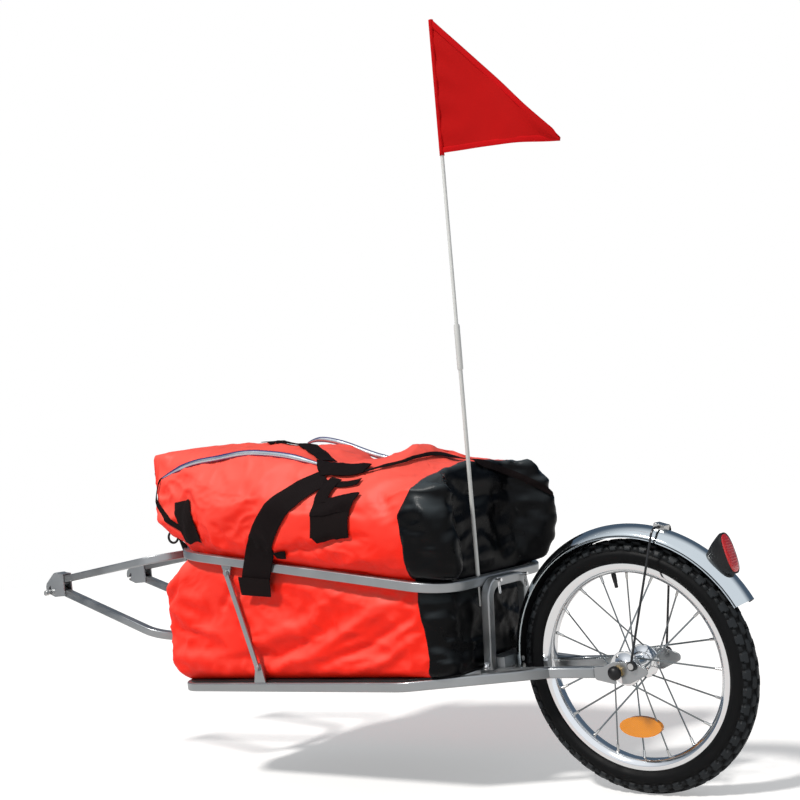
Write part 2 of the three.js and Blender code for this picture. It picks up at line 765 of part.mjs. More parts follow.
// A bracket tapers from its rail to a round nose about the rivet.
function strutBracket(side, x, z, rail, cutter) {
  const away = Math.sign(rail - z);
  const outline = new THREE.Shape();
  outline.moveTo(x - strut_bracket_half_length, rail);
  outline.lineTo(x - strut_bracket_nose, z);
  if (away > 0) outline.absarc(x, z, strut_bracket_nose, Math.PI, 2 * Math.PI, false);
  else outline.absarc(x, z, strut_bracket_nose, Math.PI, 0, true);
  outline.lineTo(x + strut_bracket_half_length, rail);
  const low = side * strut_plane - strut_bracket_thickness / 2;
  const high = side * strut_plane + strut_bracket_thickness / 2;
  const hole = rod(vec(x, low - overrun, z), vec(x, high + overrun, z), rivet_radius + seat_gap);
  return cut(plateXZ(outline, low, high), cutter, hole);
}

// A strut bar with its two rivets, which hold a bracket plate between head and bar.
function strut(side) {
  const top = new THREE.Vector2(strut_top_back, strut_top_z);
  const foot = new THREE.Vector2(strut_foot_back, strut_foot_z);
  const turn = Math.atan2(top.y - foot.y, top.x - foot.x);
  const outline = new THREE.Shape();
  outline.absarc(top.x, top.y, strut_half_width, turn - Math.PI / 2, turn + Math.PI / 2, false);
  outline.absarc(foot.x, foot.y, strut_half_width, turn + Math.PI / 2, turn + 1.5 * Math.PI, false);
  const face = strut_plane + strut_bracket_thickness / 2 + seat_gap;
  const outer = face + strut_thickness;
  const inner = strut_plane - strut_bracket_thickness / 2 - seat_gap;
  const bar = plateXZ(outline, Math.min(side * face, side * outer), Math.max(side * face, side * outer));
  const rivets = [top, foot].flatMap((p) => {
    const [tail, back, front, tip] = [inner - rivet_head, inner, outer, outer + rivet_head]
      .map((y) => vec(p.x, side * y, p.y));
    return [rod(back, tip, rivet_radius, rivet_sides), rod(front, tip, rivet_head_radius, rivet_sides),
      rod(tail, back, rivet_head_radius, rivet_sides)];
  });
  return join(bar, ...rivets);
}

// Floor panel on the lower loop, notched round the lower lug
const floor_thickness = 2.5;
const floor_low = rail_z + tube_radius + seat_gap;
const floor_high = floor_low + floor_thickness;

function floorPanel() {
  const w = lower_loop_half_width;
  const front = lower_loop_front;
  const rear = cross_tube_back + tube_radius;
  const taper = (w - stay_half_width) / (taper_end - taper_start);
  const rear_w = w - taper * (rear - taper_start);
  const r = lower_loop_bend;
  const outline = new THREE.Shape();
  outline.moveTo(rear, -rear_w);
  outline.lineTo(rear, rear_w);
  outline.lineTo(taper_start, w);
  outline.absarc(front + r, w - r, r, Math.PI / 2, Math.PI, false);
  outline.absarc(front + r, r - w, r, Math.PI, 1.5 * Math.PI, false);
  outline.lineTo(taper_start, -w);
  const notch = box(vec(front - tube_diameter, -lug_half_width - seat_gap, floor_low - overrun),
    vec(front + tube_radius + seat_gap, lug_half_width + seat_gap, floor_high + overrun));
  return cut(plateXY(outline, floor_low, floor_high), notch);
}

function addFrame() {
  const frame = new THREE.Group();
  trailer.add(frame);
  addPiece(frame, 'head_lug_upper', headLug(upper_lug_low, upper_loop_front), silver);
  addPiece(frame, 'head_lug_lower', headLug(lower_lug_low, lower_loop_front), silver);
  addPiece(frame, 'steering_bolt', steeringBolt(), steel);
  addPiece(frame, 'steering_nut', steeringNut(), steel);
  addPiece(frame, 'lower_loop', lowerLoop(), silver);
  addPiece(frame, 'lower_cross_tube', lowerCrossTube(), silver);
  addPiece(frame, 'upper_loop', upperLoop(), silver);
  addPiece(frame, 'rear_hoop', rearHoop(), silver);
  addPiece(frame, 'hoop_bridge', hoopBridge(), silver);
  addPiece(frame, 'floor_panel', floorPanel(), black_fabric);
  addPiece(frame, 'fender_bolt_lower', fenderBolt(0), steel);
  addPiece(frame, 'fender_bolt_upper', fenderBolt(1), steel);
  const upper_cutter = upperLoopTube(seat_gap);
  const lower_cutter = lowerLoopTube(seat_gap);
  sides.forEach(([name, side]) => {
    addPiece(frame, `stay_${name}`, stay(side), silver);
    addPiece(frame, `dropout_${name}`, dropout(side), silver);
    addPiece(frame, `hoop_bolt_${name}`, footBolt(side), chrome);
    addPiece(frame, `loop_pin_${name}`, loopPin(side), chrome);
    addPiece(frame, `strut_${name}`, strut(side), silver);
    addPiece(frame, `strut_bracket_upper_${name}`,
      strutBracket(side, strut_top_back, strut_top_z, upperZ(strut_top_back), upper_cutter), silver);
    addPiece(frame, `strut_bracket_lower_${name}`,
      strutBracket(side, strut_foot_back, strut_foot_z, rail_z, lower_cutter), silver);
  });
}

// Fender, drawn about the wheel axle
const fender_steps = 20;
const fender_section_points = 6;

function fenderSkin(grow, thickness) {
  const half = fender_half_width + grow;
  const sag = fender_sag;
  const curve = (half ** 2 + sag ** 2) / (2 * sag);
  const reach = Math.asin(half / curve);
  const outline = [];
  for (let i = 0; i <= fender_section_points; i += 1) {
    const a = -reach + (2 * reach * i) / fender_section_points;
    outline.push(new THREE.Vector2(curve * Math.sin(a), grow + curve * (Math.cos(a) - 1)));
  }
  for (let i = fender_section_points; i >= 0; i -= 1) {
    const a = -reach + (2 * reach * i) / fender_section_points;
    const r = curve - thickness;
    outline.push(new THREE.Vector2(r * Math.sin(a), grow + r * Math.cos(a) - curve));
  }
  const outlines = Array.from({ length: fender_steps + 1 }, () => outline);
  return loft(outlines, (point, k) => {
    const share = k / fender_steps;
    const turn = fender_front_turn + (fender_rear_turn - fender_front_turn) * share;
    const radius = fender_front_radius + (fender_rear_radius - fender_front_radius) * share + point.y;
    return vec(radius * Math.cos(turn), point.x, radius * Math.sin(turn));
  });
}

function crownRadius(turn) {
  const share = (turn - fender_front_turn) / (fender_rear_turn - fender_front_turn);
  return fender_front_radius + (fender_rear_radius - fender_front_radius) * share;
}

// Wire stay over the crown down to the dropout eyelets
const wire_radius = 2;
const wire_turn = Math.PI * 0.383;
const wire_top_half_width = 32;
const wire_bend = 12;
const wire_eye_half_width = dropout_inner + dropout_thickness + seat_gap + wire_radius;
const eye_radius = 5.5;
const wire_sides = 6;
const clamp_half_length = 9;
const clamp_half_width = 10;
const clamp_height = 7;

function wireRoute() {
  const r = crownRadius(wire_turn) + wire_radius + 2 * seat_gap;
  const top = (y) => vec(r * Math.cos(wire_turn), y, r * Math.sin(wire_turn));
  const foot = (y) => vec(eyelet_back, y, eyelet_rise + eye_radius);
  return [foot(-wire_eye_half_width), top(-wire_top_half_width),
    top(wire_top_half_width), foot(wire_eye_half_width)];
}

function fenderStay() {
  const wire = roundTube(wireRoute(), [wire_bend], wire_radius, wire_sides);
  const eyes = sides.map(([, side]) => {
    const y = side * wire_eye_half_width;
    const low = y - wire_radius;
    const high = y + wire_radius;
    const ring = rod(vec(eyelet_back, low, eyelet_rise), vec(eyelet_back, high, eyelet_rise),
      eye_radius + wire_radius);
    return ring;
  });
  const holes = rod(vec(eyelet_back, -2 * wire_eye_half_width, eyelet_rise),
    vec(eyelet_back, 2 * wire_eye_half_width, eyelet_rise), eyelet_bolt_radius + seat_gap);
  return cut(join(wire, ...eyes), holes);
}

function eyeletBolt(side) {
  const inner = side * (dropout_inner - seat_gap);
  const outer = side * (wire_eye_half_width + wire_radius + seat_gap);
  const head = outer + side * eyelet_bolt_radius;
  const nut = inner - side * eyelet_bolt_radius;
  const at = (y) => vec(eyelet_back, y, eyelet_rise);
  return join(rod(at(nut), at(head), eyelet_bolt_radius), rod(at(outer), at(head), 2 * eyelet_bolt_radius),
    rod(at(nut), at(inner), 2 * eyelet_bolt_radius, 6));
}

function fenderClamp() {
  const crown = crownRadius(wire_turn);
  const block = box(vec(-clamp_half_length, -clamp_half_width, -clamp_height),
    vec(clamp_half_length, clamp_half_width, clamp_height));
  block.translate(0, 0, crown).rotateY(Math.PI / 2 - wire_turn);
  return cut(block, roundTube(wireRoute(), [wire_bend], wire_radius + seat_gap, small_sides),
    fenderSkin(seat_gap, fender_cut_reach));
}

// Tail reflector on the fender's rear
const tail_turn = Math.PI * 0.2;
const tail_centre_turn = Math.PI * 0.2296;
const tail_stand_off = 19.65;
const tail_reach = crownRadius(tail_centre_turn) + tail_stand_off;
const tail_back = tail_reach * Math.cos(tail_centre_turn);
const tail_rise = tail_reach * Math.sin(tail_centre_turn);
const tail_half_width = 20;
const tail_half_height = 31;
const tail_depth = 34;
const tail_tilt = Math.PI * 0.06;
const tail_apex_share = 0.35;
const lens_thickness = 4;
const tail_rim = 2;
const tail_foot_half_width = 7;
const tail_foot_half_length = 12;

function roundedRectangle(half_width, half_height, radius) {
  const outline = new THREE.Shape();
  const x = half_width - radius;
  const y = half_height - radius;
  outline.absarc(x, y, radius, 0, Math.PI / 2, false);
  outline.absarc(-x, y, radius, Math.PI / 2, Math.PI, false);
  outline.absarc(-x, -y, radius, Math.PI, 1.5 * Math.PI, false);
  outline.absarc(x, -y, radius, 1.5 * Math.PI, 2 * Math.PI, false);
  return outline.getPoints(2).slice(0, -1);
}

function tailPlace(geometry) {
  return geometry.rotateY(-tail_tilt).translate(tail_back, 0, tail_rise);
}

function tailBody(front, back, front_share, back_share, inset) {
  const base = roundedRectangle(tail_half_width - inset, tail_half_height - inset, tail_half_width / 2);
  const scaled = [front_share, back_share].map((share) => base.map((p) => p.clone().multiplyScalar(share)));
  return loft(scaled, (point, k) => vec(k === 0 ? front : back, point.x, point.y));
}

function tailHousing() {
  const shell = join(tailBody(-tail_depth, -lens_thickness, tail_apex_share, 1, 0),
    tailBody(-lens_thickness, 0, 1, 1, 0));
  const pocket = tailBody(-lens_thickness, overrun, 1, 1, tail_rim);
  const cup = tailPlace(cut(shell, pocket));
  const crown = crownRadius(tail_turn);
  const foot = box(vec(-tail_foot_half_length, -tail_foot_half_width, -tail_rim),
    vec(tail_foot_half_length, tail_foot_half_width, tail_half_height));
  foot.translate(0, 0, crown).rotateY(Math.PI / 2 - tail_turn);
  const lens_room = tailPlace(tailBody(-lens_thickness, 2 * tail_half_height, 1, 1, tail_rim));
  return cut(join(cup, foot), lens_room, fenderSkin(seat_gap, fender_cut_reach));
}

function tailLens() {
  return tailPlace(tailBody(-lens_thickness + seat_gap, 0, 1, 1, tail_rim + seat_gap));
}

function fenderShell() {
  const skin = fenderSkin(0, fender_thickness);
  const local = (geometry) => geometry.translate(-wheel_axle_back, 0, wheel_axle_drop);
  return cut(skin, local(fenderBoltCutter(0)), local(fenderBoltCutter(1)));
}

function addFender() {
  const group = new THREE.Group();
  group.position.set(wheel_axle_back, 0, -wheel_axle_drop);
  trailer.add(group);
  addPiece(group, 'fender', fenderShell(), chrome);
  addPiece(group, 'fender_stay', fenderStay(), chrome);
  addPiece(group, 'fender_clamp', fenderClamp(), steel);
  addPiece(group, 'tail_reflector_housing', tailHousing(), black_plastic);
  addPiece(group, 'tail_reflector_lens', tailLens(), lens_red);
  sides.forEach(([name, side]) => addPiece(group, `eyelet_bolt_${name}`, eyeletBolt(side), brass));
}

// Axle set, fixed in the dropouts
const cone_radius = 8;
const cone_length = 9;
const axle_nut_radius = 10;
const axle_nut_length = 6;
const cap_radius = 10.5;
const cap_skirt = 5;
const cap_length = 11;
const cap_bore_depth = 6;
const cap_shoulder_share = 0.72;
const cap_rise_share = 0.85;
const cap_face = dropout_inner + dropout_thickness + 2 * seat_gap + axle_nut_length;
const axle_half_length = cap_face + cap_bore_depth - seat_gap;

function axle() {
  const cones = sides.map(([, side]) => {
    const outer = side * (dropout_inner - seat_gap);
    return rod(vec(0, outer, 0), vec(0, outer - side * cone_length, 0), cone_radius);
  });
  const bar = rod(vec(0, -axle_half_length, 0), vec(0, axle_half_length, 0), axle_radius, round_sides);
  return join(bar, ...cones);
}

function axleNut(side) {
  const face = side * (dropout_inner + dropout_thickness + seat_gap);
  const end = face + side * axle_nut_length;
  const nut = rod(vec(0, face, 0), vec(0, end, 0), axle_nut_radius, 6);
  const low = -side * overrun;
  return cut(nut, rod(vec(0, face + low, 0), vec(0, end - low, 0), axle_radius + seat_gap, round_sides));
}

// A domed cap pushed over each end of the axle.
function axleCap(side) {
  const inner = axle_radius + seat_gap;
  const skirt = cap_face + cap_skirt;
  const shoulder = cap_face + cap_length * cap_rise_share;
  const floor = cap_face + cap_bore_depth;
  const profile = [[inner, cap_face], [cap_radius, cap_face], [cap_radius, skirt],
    [cap_radius * cap_shoulder_share, shoulder], [0, cap_face + cap_length], [0, floor], [inner, floor],
    [inner, cap_face]];
  return turned(profile.map(([r, h]) => [r, side * h]), cut_sides);
}

// Wheel, drawn about its own axle along Y
const tyre_wall = 3;
const tyre_arc_steps = 8;
const tyre_inner_steps = 5;
const wheel_steps = 40;
const rim_half_width = 14;
const rim_wall = 2;
const rim_bed_depth = 8.5;
const rim_depth = 15;
const rim_bed_radius = rim_edge_radius - rim_bed_depth;
const rim_inner_radius = rim_edge_radius - rim_depth;
const rim_floor_half_width = 9;
const rim_well_depth = 3;

// The tyre is a C-shaped section that stands on the rim's two edges.
function tyre() {
  const centre = tyre_radius - tyre_section_radius;
  const foot = rim_edge_radius + seat_gap;
  const arc = (radius, steps) => {
    const reach = Math.acos((foot - centre) / radius);
    const points = [];
    for (let i = 0; i <= steps; i += 1) {
      const a = -reach + (2 * reach * i) / steps;
      points.push([centre + radius * Math.cos(a), radius * Math.sin(a)]);
    }
    return points;
  };
  const outer = arc(tyre_section_radius, tyre_arc_steps);
  const inner = arc(tyre_section_radius - tyre_wall, tyre_inner_steps).reverse();
  return turned([...outer, ...inner, outer[0]], wheel_steps);
}

function rim() {
  const w = rim_half_width;
  const half = [[rim_edge_radius, w - rim_wall], [rim_edge_radius, w], [rim_bed_radius, w],
    [rim_inner_radius, rim_floor_half_width]];
  const well = [[rim_inner_radius + rim_well_depth, rim_floor_half_width - rim_wall],
    [rim_bed_radius + rim_wall, w - rim_wall]];
  const other = half.map(([r, y]) => [r, -y]).reverse();
  const well_other = well.map(([r, y]) => [r, -y]).reverse();
  return turned([...half, ...other, ...well_other, ...well, half[0]], wheel_steps);
}

const flange_half_spacing = 30;
const flange_radius = 26;
const flange_thickness = 3;
const flange_hole_radius = 21.5;
const hub_radius = 14;
const hub_end_radius = 11;
const hub_half_length = dropout_inner - seat_gap - cone_length - seat_gap;
const spoke_radius = 1.1;
const nipple_radius = 2.2;
const nipple_length = 11;
const spoke_lead = Math.PI * 0.3;
const valve_turn = Math.PI * 0.531;
const spoke_sides = 4;

// Spokes lean alternately forward and back, from alternate flanges.
function spokeEnds(i) {
  const turn = valve_turn + ((i + 0.5) / spoke_count) * 2 * Math.PI;
  const side = i % 2 ? 1 : -1;
  const lead = (Math.floor(i / 2) % 2 ? 1 : -1) * spoke_lead;
  const hub = vec(flange_hole_radius * Math.cos(turn + lead), side * flange_half_spacing,
    flange_hole_radius * Math.sin(turn + lead));
  const outer = rim_inner_radius - seat_gap - nipple_radius / 2;
  const end = vec(outer * Math.cos(turn), 0, outer * Math.sin(turn));
  return [hub, end];
}

// One spoke with its nipple, turned about its own line.
function spoke(i, grow) {
  const [hub, end] = spokeEnds(i);
  const line = end.clone().sub(hub);
  const length = line.length();
  const neck = length - nipple_length;
  const profile = [[0, 0], [spoke_radius + grow, 0], [spoke_radius + grow, neck],
    [nipple_radius + grow, neck], [nipple_radius + grow, length], [0, length]];
  const geometry = turned(profile, spoke_sides);
  geometry.applyQuaternion(new THREE.Quaternion().setFromUnitVectors(up_axis, line.normalize()));
  return geometry.translate(hub.x, hub.y, hub.z);
}

function spokes(grow) {
  return Array.from({ length: spoke_count }, (_, i) => spoke(i, grow));
}

function hubAndSpokes() {
  const f = flange_half_spacing;
  const t = flange_thickness / 2;
  const bore = axle_radius + running_clearance;
  const half = [[hub_radius, f - t], [flange_radius, f - t], [flange_radius, f + t], [hub_radius, f + t],
    [hub_end_radius, hub_half_length]];
  const other = half.map(([r, y]) => [r, -y]).reverse();
  const profile = [...half, [bore, hub_half_length], [bore, -hub_half_length], ...other, half[0]];
  return join(turned(profile), ...spokes(0));
}

const valve_radius = 3;
const valve_length = 22;
const valve_base_share = 0.6;
const valve_neck_share = 0.7;

function valve() {
  const at = (r) => vec(r * Math.cos(valve_turn), 0, r * Math.sin(valve_turn));
  const top = rim_inner_radius * Math.cos(Math.PI / wheel_steps) - seat_gap;
  const neck = top - valve_length * valve_base_share;
  return join(rod(at(neck), at(top), valve_radius),
    rod(at(top - valve_length), at(neck), valve_radius * valve_neck_share));
}

const reflector_half_length = 36;
const reflector_half_width = 16;
const reflector_thickness = 8;
const reflector_off_middle = 10.5;
const reflector_radius = (flange_hole_radius + rim_inner_radius) / 2 + reflector_off_middle;
const reflector_spoke_inset = 2.4;
const reflector_share = (reflector_radius - flange_hole_radius) / (rim_inner_radius - flange_hole_radius);
const reflector_side = flange_half_spacing * (1 - reflector_share) - reflector_spoke_inset;

function spokeReflector() {
  const points = [];
  for (let i = 0; i < round_sides; i += 1) {
    const a = (i / round_sides) * 2 * Math.PI;
    points.push(new THREE.Vector2(reflector_half_length * Math.cos(a),
      -reflector_radius + reflector_half_width * Math.sin(a)));
  }
  const low = -reflector_side - reflector_thickness / 2;
  const body = plateXZ(new THREE.Shape(points), low, low + reflector_thickness);
  return cut(body, ...spokes(seat_gap));
}

function addWheel() {
  const wheel = new THREE.Group();
  wheel.position.set(wheel_axle_back, 0, -wheel_axle_drop);
  trailer.add(wheel);
  addPiece(wheel, 'tyre', tyre(), rubber);
  addPiece(wheel, 'rim', rim(), chrome);
  addPiece(wheel, 'hub_and_spokes', hubAndSpokes(), chrome);
  addPiece(wheel, 'valve', valve(), black_plastic);
  addPiece(wheel, 'spoke_reflector', spokeReflector(), amber);
  addPiece(wheel, 'axle', axle(), steel);
  sides.forEach(([name, side]) => {
    addPiece(wheel, `axle_nut_${name}`, axleNut(side), brass);
    addPiece(wheel, `axle_cap_${name}`, axleCap(side), black_plastic);
  });
}

// Flag pole, drawn along its own leaning axis from the top of the upper loop's rear bar
const pole_radius = 3.5;
const upper_pole_radius = 3;
const pole_pin_length = 51;
const pole_length = 950;
const ferrule_start = 346;
const ferrule_length = 77;
const ferrule_wall = 1.3;
const flag_hoist = 232;
const flag_fly = 226;
const flag_drop = 35;
const flag_thickness = 1.2;
const flag_tip = 10;
const pole_sides = 16;

function poleRod(from, to, radius) {
  return rod(vec(0, 0, from), vec(0, 0, to), radius, pole_sides);
}

function lowerPole() {
  const joint = ferrule_start + ferrule_length / 2;
  return join(poleRod(0, joint - seat_gap, pole_radius), poleRod(-pole_pin_length, 0, pole_pin_radius));
}

function ferrule() {
  const inner = pole_radius + seat_gap;
  const outer = inner + ferrule_wall;
  const tube = poleRod(ferrule_start, ferrule_start + ferrule_length, outer);
  return cut(tube, poleRod(ferrule_start - overrun, ferrule_start + ferrule_length + overrun, inner));
}

function upperPole() {
  const joint = ferrule_start + ferrule_length / 2;
  return join(poleRod(joint, pole_length, upper_pole_radius),
    poleRod(joint, ferrule_start + ferrule_length, pole_radius));
}

// A triangular pennant with a sleeve that turns on the pole.
function flag() {
  const top = pole_length;
  const low = top - flag_hoist;
  const sleeve_radius = upper_pole_radius + running_clearance + flag_thickness;
  const tip_x = sleeve_radius + flag_fly;
  const outline = new THREE.Shape();
  const edge = upper_pole_radius + running_clearance + flag_thickness / 2;
  const rise = (flag_hoist + flag_drop) / flag_fly;
  outline.moveTo(edge, low);
  outline.lineTo(tip_x - flag_tip, low - flag_drop);
  outline.lineTo(tip_x, low - flag_drop);
  outline.lineTo(tip_x, low - flag_drop + flag_tip * rise / 2);
  outline.lineTo(edge, top);
  const cloth = plateXZ(outline, -flag_thickness / 2, flag_thickness / 2);
  const bore = poleRod(low - flag_drop - overrun, top + overrun, upper_pole_radius + running_clearance);
  return cut(join(cloth, poleRod(low, top, sleeve_radius)), bore);
}

function addPole() {
  const pole = new THREE.Group();
  const base = leaning_reach + seat_gap;
  pole.position.set(upper_loop_rear + base * pole_lean_share, -pole_half_width, base - upper_loop_rear_drop);
  pole.rotation.y = Math.atan(pole_lean_share);
  trailer.add(pole);
  addPiece(pole, 'flag_pole_lower', lowerPole(), pole_white);
  addPiece(pole, 'flag_pole_ferrule', ferrule(), pole_white);
  addPiece(pole, 'flag_pole_upper', upperPole(), pole_white);
  addPiece(pole, 'flag', flag(), flag_red);
}

// Luggage bag: a body between the rails and a fuller top that lies over the upper loop
const bag_front = 432;
const bag_length = 773;
const bag_rise = 250;
const bag_half_width = 184;
const bag_body_half_width = 149;
const bag_body_front = 453;
const bag_to_hoop = 14;
const bag_body_rear = foot_back - bag_to_hoop;
const bag_body_bend = 36;
const bag_corner_steps = 5;
const bag_bow_depth = 26;
const bag_bow_half_width = 112;
const bag_steps = 20;
const bag_clearance = 2;
const bag_recess_half_width = 98;
const bag_recess_back = bag_body_rear;

// Upper part, station by station: place along, bottom, top, half width, squareness.
// Bottoms and tops are shares of the rise, half widths of the full half width.
const bag_top_shares = [
  [0, 0.62, 0.965, 0.66, 0.30],
  [0.02, 0.48, 0.99, 0.70, 0.34],
  [0.06, 0.30, 0.985, 0.78, 0.40],
  [0.12, 0.12, 0.965, 0.86, 0.45],
  [0.24, 0.02, 0.935, 0.92, 0.50],
  [0.42, -0.06, 0.865, 0.96, 0.55],
  [0.56, -0.12, 0.80, 0.99, 0.55],
  [0.65, -0.15, 0.69, 1, 0.60],
  [0.75, -0.18, 0.71, 1, 0.60],
  [0.835, -0.20, 0.70, 0.99, 0.60],
  [0.915, -0.20, 0.63, 0.96, 0.60],
  [0.97, -0.16, 0.53, 0.90, 0.60],
  [1, -0.05, 0.44, 0.80, 0.60],
];

function roundedOutline(half_width, low, high, squareness) {
  const points = [];
  const power = 1 - squareness;
  for (let i = 0; i < bag_steps; i += 1) {
    const a = (i / bag_steps) * 2 * Math.PI;
    const c = Math.cos(a);
    const s = Math.sin(a);
    const y = half_width * Math.sign(c) * Math.abs(c) ** power;
    const z = (low + high) / 2 + ((high - low) / 2) * Math.sign(s) * Math.abs(s) ** power;
    points.push(new THREE.Vector2(y, z));
  }
  return points;
}

function bagTop() {
  const outlines = bag_top_shares.map(([, low, high, width, squareness]) => roundedOutline(
    bag_half_width * width, bag_rise * low, bag_rise * high, squareness));
  return loft(outlines, (point, k) => vec(bag_front + bag_length * bag_top_shares[k][0], point.x, point.y));
}

// Lower part, level by level: height share, how far its front stands back, and its inset.
const bag_body_shares = [
  [0, 0.9, 0.10],
  [0.04, 0.2, 0.03],
  [0.12, 0, 0],
  [0.52, 0, 0],
  [0.70, 0.35, 0.02],
  [0.82, 0.9, 0.02],
  [0.90, 1.25, 0.02],
  [1.15, 1.25, 0.02],
];

function bodyOutline(front, inset) {
  const w = bag_body_half_width - inset;
  const rear = bag_body_rear - inset;
  const points = [];
  const corner = (x, y, start) => {
    for (let i = 0; i <= bag_corner_steps; i += 1) {
      const a = start + (i / bag_corner_steps) * (Math.PI / 2);
      points.push(new THREE.Vector2(x + bag_body_bend * Math.cos(a), y + bag_body_bend * Math.sin(a)));
    }
  };
  corner(rear - bag_body_bend, w - bag_body_bend, 0);
  corner(front + bag_body_bend, w - bag_body_bend, Math.PI / 2);
  points.push(new THREE.Vector2(front + bag_bow_depth, bag_bow_half_width));
  points.push(new THREE.Vector2(front + bag_bow_depth, -bag_bow_half_width));
  corner(front + bag_body_bend, bag_body_bend - w, Math.PI);
  corner(rear - bag_body_bend, bag_body_bend - w, 1.5 * Math.PI);
  return points;
}

function bagBody() {
  const low = floor_high + seat_gap;
  const high = upper_loop_front_rise;
  const outlines = bag_body_shares.map(([, back, inset]) => bodyOutline(
    bag_body_front + back * bag_bow_depth, inset * bag_body_half_width));
  return loft(outlines, (point, k) => vec(point.x, point.y, low + (high - low) * bag_body_shares[k][0]));
}

function addBag() {
  const recess = box(vec(bag_recess_back, -bag_recess_half_width, -rail_drop),
    vec(bag_recess_back + bag_length, bag_recess_half_width, bag_rise));
  const clear = bag_clearance;
  const room = cut(join(bagTop(), bagBody()), upperLoopTube(clear), recess);
  const body = solidOf(room).decompose().sort((a, b) => b.volume() - a.volume())[0];
  addPiece(trailer, 'bag', geometryOf(body), red_fabric);
}

addYoke();
addFrame();
addFender();
addWheel();
addPole();
addBag();

export default trailer;
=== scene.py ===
# The camera stands where the photograph was taken from, and the trailer stands
# on a plain pale floor in soft light. Lengths are metres, X back, Y right, Z up.
import math
from contextlib import contextmanager

import bmesh
import bpy
import numpy as np
from mathutils import Matrix, Vector
from mathutils.bvhtree import BVHTree


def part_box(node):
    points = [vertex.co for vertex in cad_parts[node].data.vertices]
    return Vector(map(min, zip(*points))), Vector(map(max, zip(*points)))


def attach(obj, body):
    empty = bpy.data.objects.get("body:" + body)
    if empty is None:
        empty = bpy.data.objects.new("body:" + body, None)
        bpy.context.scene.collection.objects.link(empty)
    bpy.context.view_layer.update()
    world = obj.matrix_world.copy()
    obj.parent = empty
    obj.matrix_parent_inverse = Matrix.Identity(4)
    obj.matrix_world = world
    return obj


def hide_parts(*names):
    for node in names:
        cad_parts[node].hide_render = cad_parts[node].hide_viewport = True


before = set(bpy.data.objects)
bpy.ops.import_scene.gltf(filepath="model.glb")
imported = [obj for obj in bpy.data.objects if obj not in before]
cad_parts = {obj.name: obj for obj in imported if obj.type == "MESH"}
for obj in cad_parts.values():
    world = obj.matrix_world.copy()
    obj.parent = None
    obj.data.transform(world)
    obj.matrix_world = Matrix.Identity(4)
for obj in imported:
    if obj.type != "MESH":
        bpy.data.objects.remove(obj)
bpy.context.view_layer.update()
scene = bpy.context.scene
scene.view_settings.view_transform = "Standard"

eye = (2.23124, -1.52628, 0.0762)
camera_right = (0.76314, 0.63227, -0.13358)
camera_up = (0.16543, 0.00868, 0.98618)
camera_back = (0.62470, -0.77470, -0.09797)
focal_pixels, frame_pixels, sensor = 1075.2, 800, 36.0

camera_data = bpy.data.cameras.new("camera")
camera_data.sensor_width = sensor
camera_data.lens = focal_pixels * sensor / frame_pixels
camera_data.clip_end = 100
camera = bpy.data.objects.new("camera", camera_data)
camera.matrix_world = Matrix([
    (r, u, b, e) for r, u, b, e in zip(camera_right, camera_up, camera_back, eye)
] + [(0, 0, 0, 1)])
scene.collection.objects.link(camera)
scene.camera = camera


# Every finish is a Principled surface. New nodes are placed by name and joined by
# socket, so that each section below can say what its own material is made of.
def node(tree, kind, **values):
    """A new node with its inputs set by socket name or number."""
    made = tree.nodes.new(kind)
    for key, value in values.items():
        if hasattr(made, key):
            setattr(made, key, value)
        else:
            made.inputs[key.replace("_", " ")].default_value = value
    return made


def math_node(tree, operation, first, second=None, third=None, clamp=False):
    """One arithmetic step; each input is a number or the socket that feeds it."""
    made = tree.nodes.new("ShaderNodeMath")
    made.operation = operation
    made.use_clamp = clamp
    for number, value in enumerate((first, second, third)):
        if value is None:
            continue
        if isinstance(value, (int, float)):
            made.inputs[number].default_value = value
        else:
            tree.links.new(value, made.inputs[number])
    return made.outputs[0]


def blend_colour(tree, factor, first, second):
    """A mix of two colours; each of the three is a value or a socket."""
    made = tree.nodes.new("ShaderNodeMix")
    made.data_type = "RGBA"
    for socket, value in zip((made.inputs[0], made.inputs[6], made.inputs[7]), (factor, first, second)):
        if isinstance(value, bpy.types.NodeSocket):
            tree.links.new(value, socket)
        elif isinstance(value, tuple):
            socket.default_value = (*value[:3], 1)
        else:
            socket.default_value = value
    return made.outputs[2]


def ramp(tree, source, stops):
    """A curve of greys from pairs of place and level."""
    made = tree.nodes.new("ShaderNodeValToRGB")
    elements = made.color_ramp.elements
    while len(elements) < len(stops):
        elements.new(0.5)
    for element, (place, level) in zip(elements, stops):
        element.position = place
        element.color = (level, level, level, 1)
    tree.links.new(source, made.inputs[0])
    return made.outputs[0]


# The sky is white to the camera. Polished metal sees it pale on the camera's side
# and above, and dark low down behind, as chrome outdoors does.
world = bpy.data.worlds.new("sky")
scene.world = world
world.use_nodes = True
sky = world.node_tree
sky.nodes.clear()
bright_side = (0.45, -0.62, 0.64)
mirrored_greys = [(0.20, 0.01), (0.50, 0.02), (0.58, 0.10), (0.68, 0.50), (0.80, 0.95)]
blue_tint, blue_share = (0.45, 0.68, 1.0), 0.16
ambient, ambient_level = (0.93, 0.96, 1.0), 0.30
path = node(sky, "ShaderNodeLightPath")
heading = node(sky, "ShaderNodeTexCoord")
toward = node(sky, "ShaderNodeVectorMath", operation="DOT_PRODUCT")
toward.inputs[1].default_value = bright_side
sky.links.new(heading.outputs["Generated"], toward.inputs[0])
polished = ramp(sky, math_node(sky, "MULTIPLY_ADD", toward.outputs["Value"], 0.5, 0.5), mirrored_greys)
tinted = blend_colour(sky, blue_share, polished, blue_tint)
plain = blend_colour(sky, ambient_level, (0, 0, 0), ambient)
seen = blend_colour(sky, path.outputs["Is Glossy Ray"], plain, tinted)
shown = blend_colour(sky, path.outputs["Is Camera Ray"], seen, (1, 1, 1))
